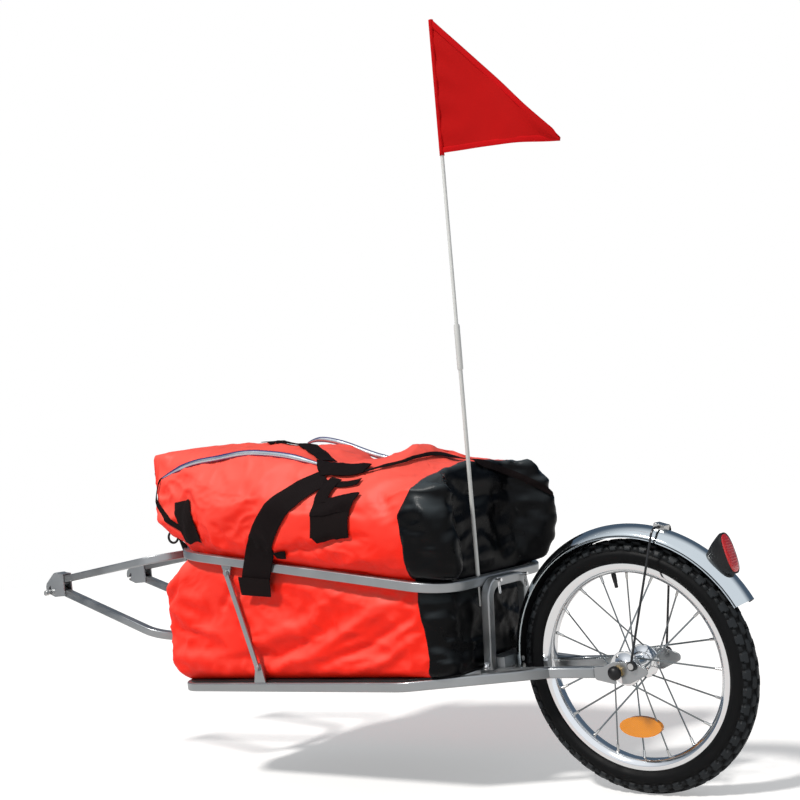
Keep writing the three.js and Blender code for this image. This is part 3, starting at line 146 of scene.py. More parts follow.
backdrop = node(sky, "ShaderNodeBackground", Strength=1.0)
sky.links.new(shown, backdrop.inputs["Color"])
outlet = node(sky, "ShaderNodeOutputWorld")
sky.links.new(backdrop.outputs[0], outlet.inputs[0])

sun_data = bpy.data.lights.new("sun", "SUN")
sun_data.energy = 2.8
sun_data.angle = math.radians(7)
sun_data.color = (1.0, 0.97, 0.93)
sun = bpy.data.objects.new("sun", sun_data)
sun.rotation_mode = "QUATERNION"
sun.rotation_quaternion = Vector((-0.16, -0.58, 0.80)).to_track_quat("Z", "Y")
scene.collection.objects.link(sun)

# The floor is a pale plane at the tyre's foot. It is white to the camera, but for
# the trailer's soft shadow.
floor_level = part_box("tyre")[0].z
floor_reach, floor_grey, floor_glow = 14, 0.8, 0.34
floor_mesh = bpy.data.meshes.new("floor")
corners = [(x * floor_reach, y * floor_reach, floor_level) for x, y in ((-1, -1), (1, -1), (1, 1), (-1, 1))]
floor_mesh.from_pydata(corners, [], [(0, 1, 2, 3)])
floor = bpy.data.objects.new("floor", floor_mesh)
scene.collection.objects.link(floor)
floor_paint = bpy.data.materials.new("floor")
floor_paint.use_nodes = True
tree = floor_paint.node_tree
tree.nodes.clear()
matt = node(tree, "ShaderNodeBsdfDiffuse", Color=(floor_grey, floor_grey, floor_grey, 1))
glow = node(tree, "ShaderNodeEmission", Color=(1, 1, 1, 1))
path = node(tree, "ShaderNodeLightPath")
tree.links.new(math_node(tree, "MULTIPLY", path.outputs["Is Camera Ray"], floor_glow),
               glow.inputs["Strength"])
both = node(tree, "ShaderNodeAddShader")
tree.links.new(matt.outputs[0], both.inputs[0])
tree.links.new(glow.outputs[0], both.inputs[1])
outlet = node(tree, "ShaderNodeOutputMaterial")
tree.links.new(both.outputs[0], outlet.inputs[0])
floor_mesh.materials.append(floor_paint)


# Grain shared by all hard finishes: soft clouding of the tone, small scuffs that
# change the gloss, and a fine relief, all on the object's own coordinates.
def new_group(name, inputs, outputs):
    """An empty node group with its sockets; returns it with its two end nodes."""
    group = bpy.data.node_groups.new(name, "ShaderNodeTree")
    for label, kind, value in inputs:
        socket = group.interface.new_socket(label, in_out="INPUT", socket_type=kind)
        socket.default_value = value
    for label, kind in outputs:
        group.interface.new_socket(label, in_out="OUTPUT", socket_type=kind)
    return group, group.nodes.new("NodeGroupInput"), group.nodes.new("NodeGroupOutput")


FLOAT, COLOUR = "NodeSocketFloat", "NodeSocketColor"
grain, given, gives = new_group(
    "hard_grain",
    [("Colour", COLOUR, (0.5, 0.5, 0.5, 1)), ("Clouding", FLOAT, 0.1), ("Roughness", FLOAT, 0.3),
     ("Scuff", FLOAT, 0.1), ("Scale", FLOAT, 1.0)],
    [("Colour", COLOUR), ("Roughness", FLOAT), ("Height", FLOAT)])
place = node(grain, "ShaderNodeTexCoord")
broad = node(grain, "ShaderNodeTexNoise", Detail=3.0)
fine = node(grain, "ShaderNodeTexNoise", Detail=5.0)
for texture, density in ((broad, 22.0), (fine, 700.0)):
    grain.links.new(place.outputs["Object"], texture.inputs["Vector"])
    grain.links.new(math_node(grain, "MULTIPLY", given.outputs["Scale"], density), texture.inputs["Scale"])
tone = math_node(grain, "SUBTRACT", broad.outputs["Fac"], 0.5)
tone = math_node(grain, "MULTIPLY", tone, given.outputs["Clouding"])
lift = math_node(grain, "ADD", tone, 1.0)
vector = node(grain, "ShaderNodeVectorMath", operation="SCALE")
grain.links.new(given.outputs["Colour"], vector.inputs[0])
grain.links.new(lift, vector.inputs["Scale"])
grain.links.new(vector.outputs[0], gives.inputs["Colour"])
scuff = ramp(grain, broad.outputs["Fac"], [(0.45, 0), (0.72, 1)])
scuff = math_node(grain, "MULTIPLY", scuff, given.outputs["Scuff"])
gloss = math_node(grain, "ADD", given.outputs["Roughness"], scuff, clamp=True)
grain.links.new(gloss, gives.inputs["Roughness"])
grain.links.new(fine.outputs["Fac"], gives.inputs["Height"])


grain_depth, fold_depth, thread_depth = 0.0004, 0.004, 0.0003


def bumped(tree, height, strength, depth):
    """Adds a relief over whatever relief the surface already has."""
    normal = tree.nodes["Principled BSDF"].inputs["Normal"]
    made = node(tree, "ShaderNodeBump", Strength=strength, Distance=depth)
    tree.links.new(height, made.inputs["Height"])
    if normal.is_linked:
        tree.links.new(normal.links[0].from_socket, made.inputs["Normal"])
    tree.links.new(made.outputs[0], normal)


def finish_from(shared, name, colour, group_values, surface_values):
    """A Principled surface whose colour and gloss come from a shared group of nodes."""
    made = bpy.data.materials.new(name)
    made.use_nodes = True
    made.diffuse_color = (*colour, 1)
    tree = made.node_tree
    surface = tree.nodes["Principled BSDF"]
    for key, value in surface_values.items():
        surface.inputs[key.replace("_", " ")].default_value = value
    group = tree.nodes.new("ShaderNodeGroup")
    group.node_tree = shared
    group.inputs["Colour"].default_value = (*colour, 1)
    for key, value in group_values.items():
        group.inputs[key].default_value = value
    tree.links.new(group.outputs["Colour"], surface.inputs["Base Color"])
    tree.links.new(group.outputs["Roughness"], surface.inputs["Roughness"])
    return made, group


def hard_finish(name, colour, roughness, metallic=0.0, clouding=0.12, scuff=0.08, relief=0.02, scale=1.0,
                **plain):
    """A hard surface with the shared grain's clouding, scuffs and fine relief."""
    values = {"Clouding": clouding, "Roughness": roughness, "Scuff": scuff, "Scale": scale}
    made, group = finish_from(grain, name, colour, values, {"Metallic": metallic, **plain})
    bumped(made.node_tree, group.outputs["Height"], relief, grain_depth)
    return made


def place_piece(name, mesh, body, finish, stands_for=()):
    """Links a finished mesh, lets it ride on its body and hides the nodes it stands for."""
    made = bpy.data.objects.new(name, mesh)
    scene.collection.objects.link(made)
    mesh.materials.clear()
    mesh.materials.append(finish)
    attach(made, body)
    if stands_for:
        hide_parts(*stands_for)
    return made


@contextmanager
def reshaped(mesh):
    """Opens a mesh for editing, and writes it back at the end."""
    shape = bmesh.new()
    shape.from_mesh(mesh)
    yield shape
    shape.to_mesh(mesh)
    shape.free()


def smooth_but(shape, angle):
    """Smooth faces, with the edges that turn more than angle degrees kept sharp."""
    limit = math.radians(angle)
    for edge in shape.edges:
        edge.smooth = len(edge.link_faces) == 2 and edge.calc_face_angle(0) < limit
    for face in shape.faces:
        face.smooth = True


weld = 2e-6


def dressed(name, body, finish, bevel=0.0006, crease=38):
    """A smooth copy of a CAD node: shared vertices merged, faces joined, edges softened."""
    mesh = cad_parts[name].data.copy()
    with reshaped(mesh) as shape:
        bmesh.ops.remove_doubles(shape, verts=shape.verts, dist=weld)
        bmesh.ops.dissolve_limit(shape, angle_limit=math.radians(1), verts=shape.verts, edges=shape.edges)
        smooth_but(shape, crease)
    if "custom_normal" in mesh.attributes:
        mesh.attributes.remove(mesh.attributes["custom_normal"])
    made = place_piece(name + "_made", mesh, body, finish, [name])
    if bevel:
        edge = made.modifiers.new("worn_edge", "BEVEL")
        edge.width, edge.segments = bevel, 2
        edge.limit_method, edge.angle_limit = "ANGLE", math.radians(crease)
        edge.harden_normals = edge.use_clamp_overlap = True
    return made


# The steering head: an upright tube between two lug plates, with plastic bushes in
# its ends and one long bolt and nut through all of them. Tube and lugs have bright
# zinc plate under a thin clear coat, as the whole frame has.
silver = hard_finish("silver_plate", (0.37, 0.385, 0.395), 0.30, 0.80, 0.16, 0.14, 0.05, Coat_Weight=0.1)
steel = hard_finish("zinc_steel", (0.58, 0.58, 0.57), 0.26, 1.0, 0.10, 0.14, 0.05)
black_plastic = hard_finish("black_plastic", (0.010, 0.010, 0.011), 0.38, 0.0, 0.3, 0.12, 0.08,
                            Specular_IOR_Level=0.28)
dressed("head_tube", "yoke", silver)
for end in ("upper", "lower"):
    dressed("head_bush_" + end, "yoke", black_plastic)
    dressed("head_lug_" + end, "frame", silver)
for name in ("steering_bolt", "steering_nut"):
    dressed(name, "frame", steel)


# The yoke's two hoops are square tube, bent round the back of the bicycle's wheel
# and welded to the head tube. The upper one rises to it, the lower one drops.
def unit(rows):
    """Each row scaled to length one."""
    return rows / np.maximum(np.linalg.norm(rows, axis=-1, keepdims=True), 1e-12)


def bent_path(corners, radii, closed=False, steps=14):
    """Straight runs joined by arcs: each arc starts and ends radius * tan(turn / 2)
    from its corner, and its points turn evenly about the arc's centre."""
    corners = [np.array(c, float) for c in corners]
    count = len(corners)
    rows = [] if closed else [corners[0][None]]
    for i in range(0 if closed else 1, count if closed else count - 1):
        into = unit(corners[i] - corners[i - 1])
        out = unit(corners[(i + 1) % count] - corners[i])
        turn = math.acos(float(np.clip(into @ out, -1, 1)))
        radius = radii[min(i, len(radii) - 1)]
        axis = unit(np.cross(into, out))
        start = corners[i] - into * radius * math.tan(turn / 2)
        centre = start + np.cross(axis, into) * radius
        angle = np.linspace(0, turn, steps + 1)[:, None]
        spoke = start - centre
        rows.append(centre + spoke * np.cos(angle) + np.cross(axis, spoke) * np.sin(angle))
    if not closed:
        rows.append(corners[-1][None])
    return np.concatenate(rows)


def square_section(size, corner, steps=4):
    """A square with round corners, as (across, up) pairs, with a point just inside each corner's ends."""
    half, flat = size / 2, size / 2 - corner
    angle = np.linspace(0, math.pi / 2, steps + 1)
    arc = np.stack([np.cos(angle), np.sin(angle)], 1) * corner + flat
    hold = corner * 0.35
    side = np.concatenate([[[half, flat - hold]], arc, [[flat - hold, half]]])
    rows = [side]
    for _ in range(3):
        side = np.stack([-side[:, 1], side[:, 0]], 1)
        rows.append(side)
    return np.concatenate(rows)


def grid_mesh(name, points, closed_u=True, closed_v=False, caps=True):
    """A skin over a grid of points: v counts the outlines, u the points round each."""
    rows, columns = points.shape[:2]
    v, u = np.meshgrid(np.arange(rows if closed_v else rows - 1),
                       np.arange(columns if closed_u else columns - 1), indexing="ij")
    next_v, next_u = (v + 1) % rows, (u + 1) % columns
    corners = [v * columns + u, v * columns + next_u, next_v * columns + next_u, next_v * columns + u]
    faces = np.stack(corners, -1).reshape(-1, 4).tolist()
    capped = caps and closed_u and not closed_v
    if capped:
        faces += [list(range(columns))[::-1], list(range((rows - 1) * columns, rows * columns))]
    mesh = bpy.data.meshes.new(name)
    mesh.from_pydata(points.reshape(-1, 3).tolist(), [], faces)
    mesh.polygons.foreach_set("use_smooth", np.ones(len(mesh.polygons), bool))
    if capped:
        mesh.polygons[-1].use_smooth = mesh.polygons[-2].use_smooth = False
    mesh.update()
    return mesh


def outward(mesh):
    """Turns the faces of a closed skin outwards."""
    with reshaped(mesh) as shape:
        bmesh.ops.recalc_face_normals(shape, faces=shape.faces)
    return mesh


tube_size, tube_corner = 0.016, 0.0022
tube_outline = square_section(tube_size, tube_corner)


def square_tube(name, path, normal, body="frame", closed=False):
    """The tube's section carried along a path, in place of a CAD node. Across lies at
    right angles to path and normal, and up lies along normal, so it never twists."""
    if closed:
        tangent = unit(np.roll(path, -1, 0) - path) + unit(path - np.roll(path, 1, 0))
    else:
        step = unit(np.diff(path, axis=0))
        tangent = np.concatenate([step[:1], step[:-1] + step[1:], step[-1:]])
    tangent = unit(tangent)
    across = unit(np.cross(tangent, unit(np.array(normal, float))))
    up = unit(np.cross(across, tangent))
    points = path[:, None] + across[:, None] * tube_outline[:, :1] + up[:, None] * tube_outline[:, 1:]
    mesh = outward(grid_mesh(name, points, True, closed))
    place_piece(name + "_made", mesh, body, silver, [name])


hitch_half_width, arm_front, hoop_cross, hoop_bend = 0.112, 0.022, 0.400, 0.075
for name, rise, slope in (("yoke_upper_hoop", 0.0122, 0.066), ("yoke_lower_hoop", 0.0016, -0.333)):
    corners = [(x, y * hitch_half_width, rise + slope * x) for x, y in
               ((arm_front, -1), (hoop_cross, -1), (hoop_cross, 1), (arm_front, 1))]
    square_tube(name, bent_path(corners, [hoop_bend]), (-slope, 0, 1), "yoke")

# The hitch brackets are folded plates over the arm ends, with a slanted slot for
# the axle. A sprung steel pin with a plastic grip slides across and locks it.
for side in ("left", "right"):
    dressed("hitch_bracket_" + side, "yoke", silver, 0.0009)
    dressed("hitch_pin_" + side, f"hitch_pin_{side}_body", steel)

# The basket's frame is the same square tube: a lower loop that narrows to the
# stays, a cross tube, and an upper loop that falls to the rear.
rail_level = -0.217
taper_start, taper_end, stay_side, stay_end = 1.052, 1.270, 0.047, 1.372
loop_front, loop_side, loop_bend = 0.470, 0.155, 0.060
corners = [(taper_end, -stay_side), (taper_start, -loop_side), (loop_front, -loop_side),
           (loop_front, loop_side), (taper_start, loop_side), (taper_end, stay_side)]
square_tube("lower_loop", bent_path([(x, y, rail_level) for x, y in corners], [loop_bend]), (0, 0, 1))
cross_back = 1.130
taper_share = (cross_back - taper_start) / (taper_end - taper_start)
cross_reach = loop_side - taper_share * (loop_side - stay_side) - tube_size * 0.4
for name, start, end in (("lower_cross_tube", (cross_back, -cross_reach), (cross_back, cross_reach)),
                         ("stay_left", (cross_back, -stay_side), (stay_end, -stay_side)),
                         ("stay_right", (cross_back, stay_side), (stay_end, stay_side))):
    square_tube(name, np.array([(*start, rail_level), (*end, rail_level)]), (0, 0, 1))

upper_front, upper_rise, upper_side = 0.466, 0.051, 0.161
hoop_foot, hoop_lean, hoop_foot_level, hoop_top_level = 1.160, 0.117, -0.202, -0.068
hoop_top_back = hoop_foot + hoop_lean * (hoop_top_level - hoop_foot_level)
upper_rear = hoop_top_back - tube_size - 0.0003
upper_drop = -0.0635
upper_slope = (upper_drop - upper_rise) / (upper_rear - upper_front)


def upper_level(x):
    """The upper loop's height at a distance back."""
    return upper_rise + upper_slope * (x - upper_front)


corners = [(x, y * upper_side, upper_level(x)) for x, y in
           ((upper_front, -1), (upper_front, 1), (upper_rear, 1), (upper_rear, -1))]
upper_path = bent_path(corners, [0.130, 0.130, 0.058, 0.058], True, 18)
square_tube("upper_loop", upper_path, (-upper_slope, 0, 1), closed=True)

# The rear hoop stands on the stays and leans back a little. Acorn nuts hold its
# feet to the bridge, and two clevis pins with hairpin clips hold the upper loop.
chrome = hard_finish("chrome_plate", (0.86, 0.87, 0.88), 0.07, 1.0, 0.03, 0.05, 0.004)
hoop_side, hoop_bend_radius, hoop_bottom = 0.055, 0.025, -0.2087
corners = [(hoop_foot + hoop_lean * (z - hoop_foot_level), y * hoop_side, z) for y, z in
           ((-1, hoop_bottom), (-1, hoop_top_level), (1, hoop_top_level), (1, hoop_bottom))]
square_tube("rear_hoop", bent_path(corners, [hoop_bend_radius]), (1, 0, -hoop_lean))
fine_bevel = 0.0005
dressed("hoop_bridge", "frame", silver, fine_bevel)
for end, side in (("lower", "left"), ("upper", "right")):
    dressed("fender_bolt_" + end, "frame", steel, 0)
    dressed("hoop_bolt_" + side, "frame", chrome, fine_bevel)
    dressed("loop_pin_" + side, "frame", chrome, 0)

# A flat strut stands on each side between the two loops, held by a riveted bracket
# at each end. A thin black sheet on the lower loop is the basket's floor.
for side in ("left", "right"):
    dressed("strut_" + side, "frame", silver, fine_bevel)
    for end in ("upper", "lower"):
        dressed(f"strut_bracket_{end}_{side}", "frame", silver, fine_bevel)
dressed("floor_panel", "frame", black_plastic, fine_bevel)

# The axle sits in slotted dropout plates, with yellow plated nuts under black caps.
# A dark wire stay with an eyelet at each end steadies the fender.
brass = hard_finish("yellow_zinc", (0.62, 0.42, 0.16), 0.28, 1.0, 0.20, 0.12, 0.06)
dark_wire = hard_finish("dark_wire", (0.030, 0.031, 0.034), 0.32, 0.6, 0.1, 0.1, 0.02)
round_crease = 48
for name in ("axle", "fender_clamp"):
    dressed(name, "frame", steel, fine_bevel)
for side in ("left", "right"):
    dressed("dropout_" + side, "frame", silver, fine_bevel)
    dressed("axle_nut_" + side, "frame", brass, fine_bevel)
    dressed("axle_cap_" + side, "frame", black_plastic, 0, round_crease)
    dressed("eyelet_bolt_" + side, "frame", steel, 0)
dressed("fender_stay", "frame", dark_wire, 0, round_crease)

# The tyre is black rubber with three rows of blocks each side: a middle row, a
# middle-outer row half a pitch behind, and square shoulder blocks. It is drawn
# as one skin whose radius rises and falls with the blocks.
axle_back, axle_level = 1.396, -0.215
tyre_radius, tyre_section, tyre_wall, rim_edge = 0.196, 0.022, 0.003, 0.1585
block_count, block_height = 46, 0.0034


def about_axle(radius, side, turn):
    """Points of the wheel from radius, distance aside and angle from the rear, as arrays."""
    return np.stack([axle_back + radius * np.cos(turn), side + 0 * turn,
                     axle_level + radius * np.sin(turn)], -1)


def soft_step(x, low, high):
    """0 below low, 1 above high, with a smooth rise between."""
    t = np.clip((x - low) / (high - low), 0, 1)
    return t * t * (3 - 2 * t)


def band(x, low, high, edge):
    """1 between low and high, 0 outside, with edges that width."""
    return soft_step(x, low - edge, low) * (1 - soft_step(x, high, high + edge))


def creased(mesh, angle=35):
    """Smooth shading, with the edges that turn more than angle degrees kept sharp."""
    with reshaped(mesh) as shape:
        smooth_but(shape, angle)
    return mesh


def whole_turn(count):
    """Angles spaced evenly round a circle, from zero."""
    return np.arange(count) / count * 2 * math.pi


def painted(mesh, attribute, values):
    """Stores one number for each point of a mesh, for its finish to read."""
    layer = mesh.attributes.new(attribute, "FLOAT", "POINT")
    layer.data.foreach_set("value", values.ravel().astype(np.float32))


tyre_centre, inner_section = tyre_radius - tyre_section, tyre_section - tyre_wall
bead = rim_edge + 0.0003 - tyre_centre
reach, inner_reach, tread_reach = math.acos(bead / tyre_section), math.acos(bead / inner_section), 1.32
round_outer = np.concatenate([np.linspace(-reach, -tread_reach, 9)[:-1],
                              np.linspace(-tread_reach, tread_reach, 45),
                              np.linspace(tread_reach, reach, 9)[1:]])
round_inner = np.linspace(inner_reach, -inner_reach, 14)
turn = whole_turn(block_count * 12)
across_angle, turn_grid = np.meshgrid(round_outer, turn)
arc = np.abs(across_angle) * tyre_section
phase = turn_grid / (2 * math.pi) * block_count


def blocks(offset, share, low, high):
    """One row of tread blocks: a band round the tyre, cut by gaps across it."""
    local = (phase + offset) % 1
    return band(local, 0.5 - share / 2, 0.5 + share / 2, 0.05) * band(arc, low, high, 0.0009)


# Rows of blocks: shift and share of the pitch, then from, to and height across the tyre.
tread_rows = [(0.0, 0.66, -0.01, 0.0042, 1), (0.5, 0.62, 0.0066, 0.0128, 1),
              (0.08, 0.60, 0.0152, 0.0228, 1), (0.08, 0.42, 0.0200, 0.0275, 1),
              (0.58, 0.26, 0.0205, 0.0262, 0.55)]
rib_height, rib_places, wall_share = 0.0005, ((0.0325, 0.0335), (0.0425, 0.0435)), 0.75
tread = np.maximum.reduce([tall * blocks(*row) for *row, tall in tread_rows])
ribs = sum(rib_height * band(arc, low, high, 0.0006) for low, high in rib_places)
section = tyre_section - block_height + block_height * tread + ribs
section = section + block_height * wall_share * soft_step(arc, 0.0280, 0.0360)
outer = about_axle(tyre_centre + section * np.cos(across_angle), section * np.sin(across_angle), turn_grid)
inner_angle, inner_turn = np.meshgrid(round_inner, turn)
inner = about_axle(tyre_centre + inner_section * np.cos(inner_angle), inner_section * np.sin(inner_angle),
                   inner_turn)
tyre_mesh = creased(outward(grid_mesh("tyre", np.concatenate([outer, inner], 1), True, True)), 50)
# The block mask is kept for the finish, which paints the blocks lighter grey as a painted highlight on the
# knobs.
painted(tyre_mesh, "painted_knob_light", np.concatenate([tread, np.zeros((len(turn), len(round_inner)))], 1))
rubber = hard_finish("tyre_rubber", (0.0030, 0.0032, 0.0036), 0.50, 0.0, 0.5, 0.2, 0.15, 1.6,
                     Specular_IOR_Level=0.12)


def overlaid(finish, socket, mask, value):
    """Mixes a value, by a mask, into what already feeds one of a finish's sockets."""
    tree = finish.node_tree
    fed = tree.nodes["Principled BSDF"].inputs[socket]
    tree.links.new(blend_colour(tree, mask, fed.links[0].from_socket, value), fed)


def masked(finish, attribute, colour, roughness):
    """Blends a finish's colour and roughness towards new ones by a painted attribute."""
    mask = node(finish.node_tree, "ShaderNodeAttribute", attribute_name=attribute).outputs["Fac"]
    overlaid(finish, "Base Color", mask, colour)
    overlaid(finish, "Roughness", mask, (roughness, roughness, roughness))


# The blocks get a lighter grey and a little less roughness: a painted highlight on the knobs.
masked(rubber, "painted_knob_light", (0.022, 0.025, 0.028), 0.42)
place_piece("tyre_made", tyre_mesh, "wheel", rubber, ["tyre"])


# The rim is rolled from polished steel: two straight edges, sides that fall in to
# a narrower floor, and a well that holds the spoke nipples.
def turned(name, profile, steps):
    """A profile of (radius, aside) pairs turned about the axle."""
    radius, around = np.meshgrid(np.array(profile)[:, 0], whole_turn(steps))
    aside = np.broadcast_to(np.array(profile)[:, 1], radius.shape)
    mesh = grid_mesh(name, about_axle(radius, aside, around), True, True)
    with reshaped(mesh) as shape:
        bmesh.ops.remove_doubles(shape, verts=shape.verts, dist=1e-6)
        bmesh.ops.dissolve_degenerate(shape, edges=shape.edges, dist=1e-7)
    return creased(outward(mesh))


rim_half = [(0.1585, 0.0120), (0.1588, 0.0130), (0.1584, 0.0140), (0.1530, 0.0142), (0.1505, 0.0136),
            (0.1485, 0.0120), (0.1458, 0.0100), (0.1441, 0.0080), (0.1435, 0.0040)]
rim_well = [(0.1462, 0.0040), (0.1466, 0.0070), (0.1510, 0.0112)]
rim_profile = (rim_half + [(r, -y) for r, y in rim_half[::-1]]
               + [(r, -y) for r, y in rim_well] + rim_well[::-1])
place_piece("rim_made", turned("rim", rim_profile, 200), "wheel", chrome, ["rim"])

# Twenty crossed spokes of plain wire run from the holes of two pressed flanges to
# nipples in the rim; every second pair leans forward and the next leans back.
spoke_steel = hard_finish("spoke_steel", (0.20, 0.22, 0.23), 0.24, 0.9, 0.1, 0.1, 0.02)
spoke_count, valve_turn, spoke_lead = 20, math.pi * 0.531, math.pi * 0.3
flange_hole, flange_side, spoke_end = 0.0215, 0.030, 0.1421
spoke_radius, nipple_radius, nipple_length = 0.0014, 0.0021, 0.010
number = np.arange(spoke_count)
turn = valve_turn + (number + 0.5) / spoke_count * 2 * math.pi
side = np.where(number % 2 == 1, 1.0, -1.0)
lead = np.where((number // 2) % 2 == 1, 1.0, -1.0) * spoke_lead
hub_end = about_axle(flange_hole, side * flange_side, turn + lead)
rim_end = about_axle(spoke_end, side * 0.0015, turn)
direction = unit(rim_end - hub_end)
length = np.linalg.norm(rim_end - hub_end, axis=1)


def straight_turned(name, starts, directions, profile, count=10):
    """A (distance along, radius) profile turned about each of several lines, in one mesh.
    A direction that isn't one long stretches the profile, and one axis of its rings."""
    profile = np.array(profile, float)
    angle = whole_turn(count)[:, None]
    lines = []
    for start, along in zip(starts, directions):
        first = unit(np.cross(along, (0, 1, 0) if abs(along[1]) < 0.9 else (1, 0, 0)))
        ring = np.cos(angle) * first + np.sin(angle) * np.cross(along, first)
        lines.append(start + profile[:, None, :1] * along + profile[:, None, 1:] * ring)
    pattern = grid_mesh(name + "_pattern", lines[0])
    size = len(pattern.vertices)
    faces = [[number * size + i for i in face.vertices]
             for number in range(len(lines)) for face in pattern.polygons]
    bpy.data.meshes.remove(pattern)
    mesh = bpy.data.meshes.new(name)
    mesh.from_pydata(np.concatenate([line.reshape(-1, 3) for line in lines]).tolist(), [], faces)
    return creased(outward(mesh), 40)


# Each spoke's direction is as long as the spoke, which also thins it to a flat blade.
wire = np.array([(0, spoke_radius), (1, spoke_radius)])
spokes = straight_turned("spokes", hub_end, direction * length[:, None], wire, 8)
place_piece("spokes", spokes, "wheel", spoke_steel, ["hub_and_spokes"])
nipple = [(-nipple_length, 0.0014), (-nipple_length, 0.0019), (-nipple_length * 0.8, nipple_radius),
          (-nipple_length * 0.1, nipple_radius), (0.0014, 0.0028)]
place_piece("spoke_nipples", straight_turned("spoke_nipples", rim_end, direction, nipple, 10), "wheel",
            steel)

flange_radius, hub_radius, hub_end_radius, hub_half = 0.026, 0.0135, 0.0105, 0.0455
hub_half_profile = [(hub_radius, 0.0), (hub_radius, 0.0200), (0.0150, 0.0262), (0.0190, 0.0284),
                    (flange_radius, 0.0286),
                    (0.0266, 0.0300), (flange_radius, 0.0314), (0.0185, 0.0316), (0.0150, 0.0330),
                    (hub_end_radius + 0.0015, 0.0350),
                    (hub_end_radius, hub_half - 0.001), (hub_end_radius - 0.001, hub_half),
                    (0.0054, hub_half)]
hub_profile = hub_half_profile[::-1] + [(r, -y) for r, y in hub_half_profile[1:]]
place_piece("hub", turned("hub", hub_profile, 64), "wheel", chrome)
aside = np.stack([0 * side, side, 0 * side], 1)
head_profile = [(0, 0.0005), (0, 0.0018), (0.0012, 0.0022), (0.0022, 0.0012)]
spoke_heads = straight_turned("spoke_heads", hub_end + aside * 0.0012, aside, head_profile, 8)
place_piece("spoke_heads", spoke_heads, "wheel", steel)

# The valve is a black rubber stem with a slimmer cap, and points at the axle.
valve_root = about_axle(0.1432, np.zeros(1), np.full(1, valve_turn))
valve_along = unit(np.array([[-math.cos(valve_turn), 0, -math.sin(valve_turn)]]))
valve_profile = [(0, 0.0036), (0.002, 0.0040), (0.014, 0.0034), (0.0145, 0.0029), (0.022, 0.0029),
                 (0.0230, 0.0020)]
valve = straight_turned("valve", valve_root, valve_along, valve_profile, 18)
place_piece("valve_made", valve, "wheel", black_plastic, ["valve"])

# The spoke reflector is clear amber plastic over rows of small corner prisms.
amber = hard_finish("amber_prisms", (0.90, 0.31, 0.002), 0.16, 0.0, 0.2, 0.05, 0.0, Coat_Weight=0.7)
lens_red = hard_finish("red_prisms", (0.90, 0.004, 0.004), 0.16, 0.0, 0.2, 0.05, 0.0, Coat_Weight=0.7)
for finish, pitch, deep in ((amber, 330.0, (0.45, 0.12, 0.002)), (lens_red, 420.0, (0.30, 0.0, 0.0))):
    tree = finish.node_tree
    place = node(tree, "ShaderNodeTexCoord")
    prisms = node(tree, "ShaderNodeTexVoronoi", Scale=pitch, Randomness=0.0)
    slant = node(tree, "ShaderNodeMapping", Scale=(1.0, 0.6, 1.35), Rotation=(0.0, 0.6, 0.0))
    tree.links.new(place.outputs["Object"], slant.inputs["Vector"])
    tree.links.new(slant.outputs[0], prisms.inputs["Vector"])
    bump = node(tree, "ShaderNodeBump", Strength=0.8, Distance=0.0008)
    tree.links.new(prisms.outputs["Distance"], bump.inputs["Height"])
    tree.links.new(bump.outputs[0], tree.nodes["Principled BSDF"].inputs["Normal"])
    overlaid(finish, "Base Color", ramp(tree, prisms.outputs["Distance"], [(0.15, 0), (0.65, 0.38)]), deep)
dressed("spoke_reflector", "wheel", amber, 0.0012)

# The tail reflector is a black cone that swells from the fender to an oval lens
# with a crowned face; the lens sits inside a thin lip.
tail_turn, tail_reach, tail_tilt = math.pi * 0.2296, 0.24233, math.pi * 0.06
tail_centre = about_axle(tail_reach, 0.0, tail_turn)
tail_out = np.array([math.cos(tail_tilt), 0, math.sin(tail_tilt)])
tail_up = np.array([-math.sin(tail_tilt), 0, math.cos(tail_tilt)])
oval_power, oval_points, lens_half, lens_tall = 2.6, 48, 0.0177, 0.0287


def oval_stack(name, stations):
    """Ovals |y/a|^p + |z/b|^p = 1 stacked along the lens axis, each from its depth, half
    width, half height and rise."""
    angle = whole_turn(oval_points)
    across = np.sign(np.cos(angle)) * np.abs(np.cos(angle)) ** (2 / oval_power)
    high = np.sign(np.sin(angle)) * np.abs(np.sin(angle)) ** (2 / oval_power)
    points = np.stack([tail_centre + depth * tail_out + across[:, None] * half * np.array([0, 1, 0])
                       + (high * tall + rise)[:, None] * tail_up for depth, half, tall, rise in stations])
    return creased(outward(grid_mesh(name, points)), 40)


cone = [(-0.034 + 0.030 * t, 0.0065 + 0.0135 * t ** 0.55, 0.010 + 0.021 * t ** 0.55, -0.006 * (1 - t))
        for t in np.linspace(0, 1, 16)]
lip = [(0.0, 0.0200, 0.0310, 0), (0.0006, 0.0192, 0.0302, 0), (-0.0002, 0.0182, 0.0292, 0),
       (-0.0036, 0.0180, 0.0290, 0)]
place_piece("tail_reflector_housing_made", oval_stack("tail_housing", cone + lip), "frame", black_plastic,
            ["tail_reflector_housing"])
crown = [(-0.0034, lens_half, lens_tall, 0), (0.0, lens_half, lens_tall, 0)]
crown += [(0.0028 * math.sin(a), lens_half * math.cos(a) ** 0.6, lens_tall * math.cos(a) ** 0.6, 0)
          for a in np.linspace(0.15, 1.52, 9)]
place_piece("tail_reflector_lens_made", oval_stack("tail_lens", crown), "frame", lens_red,
            ["tail_reflector_lens"])

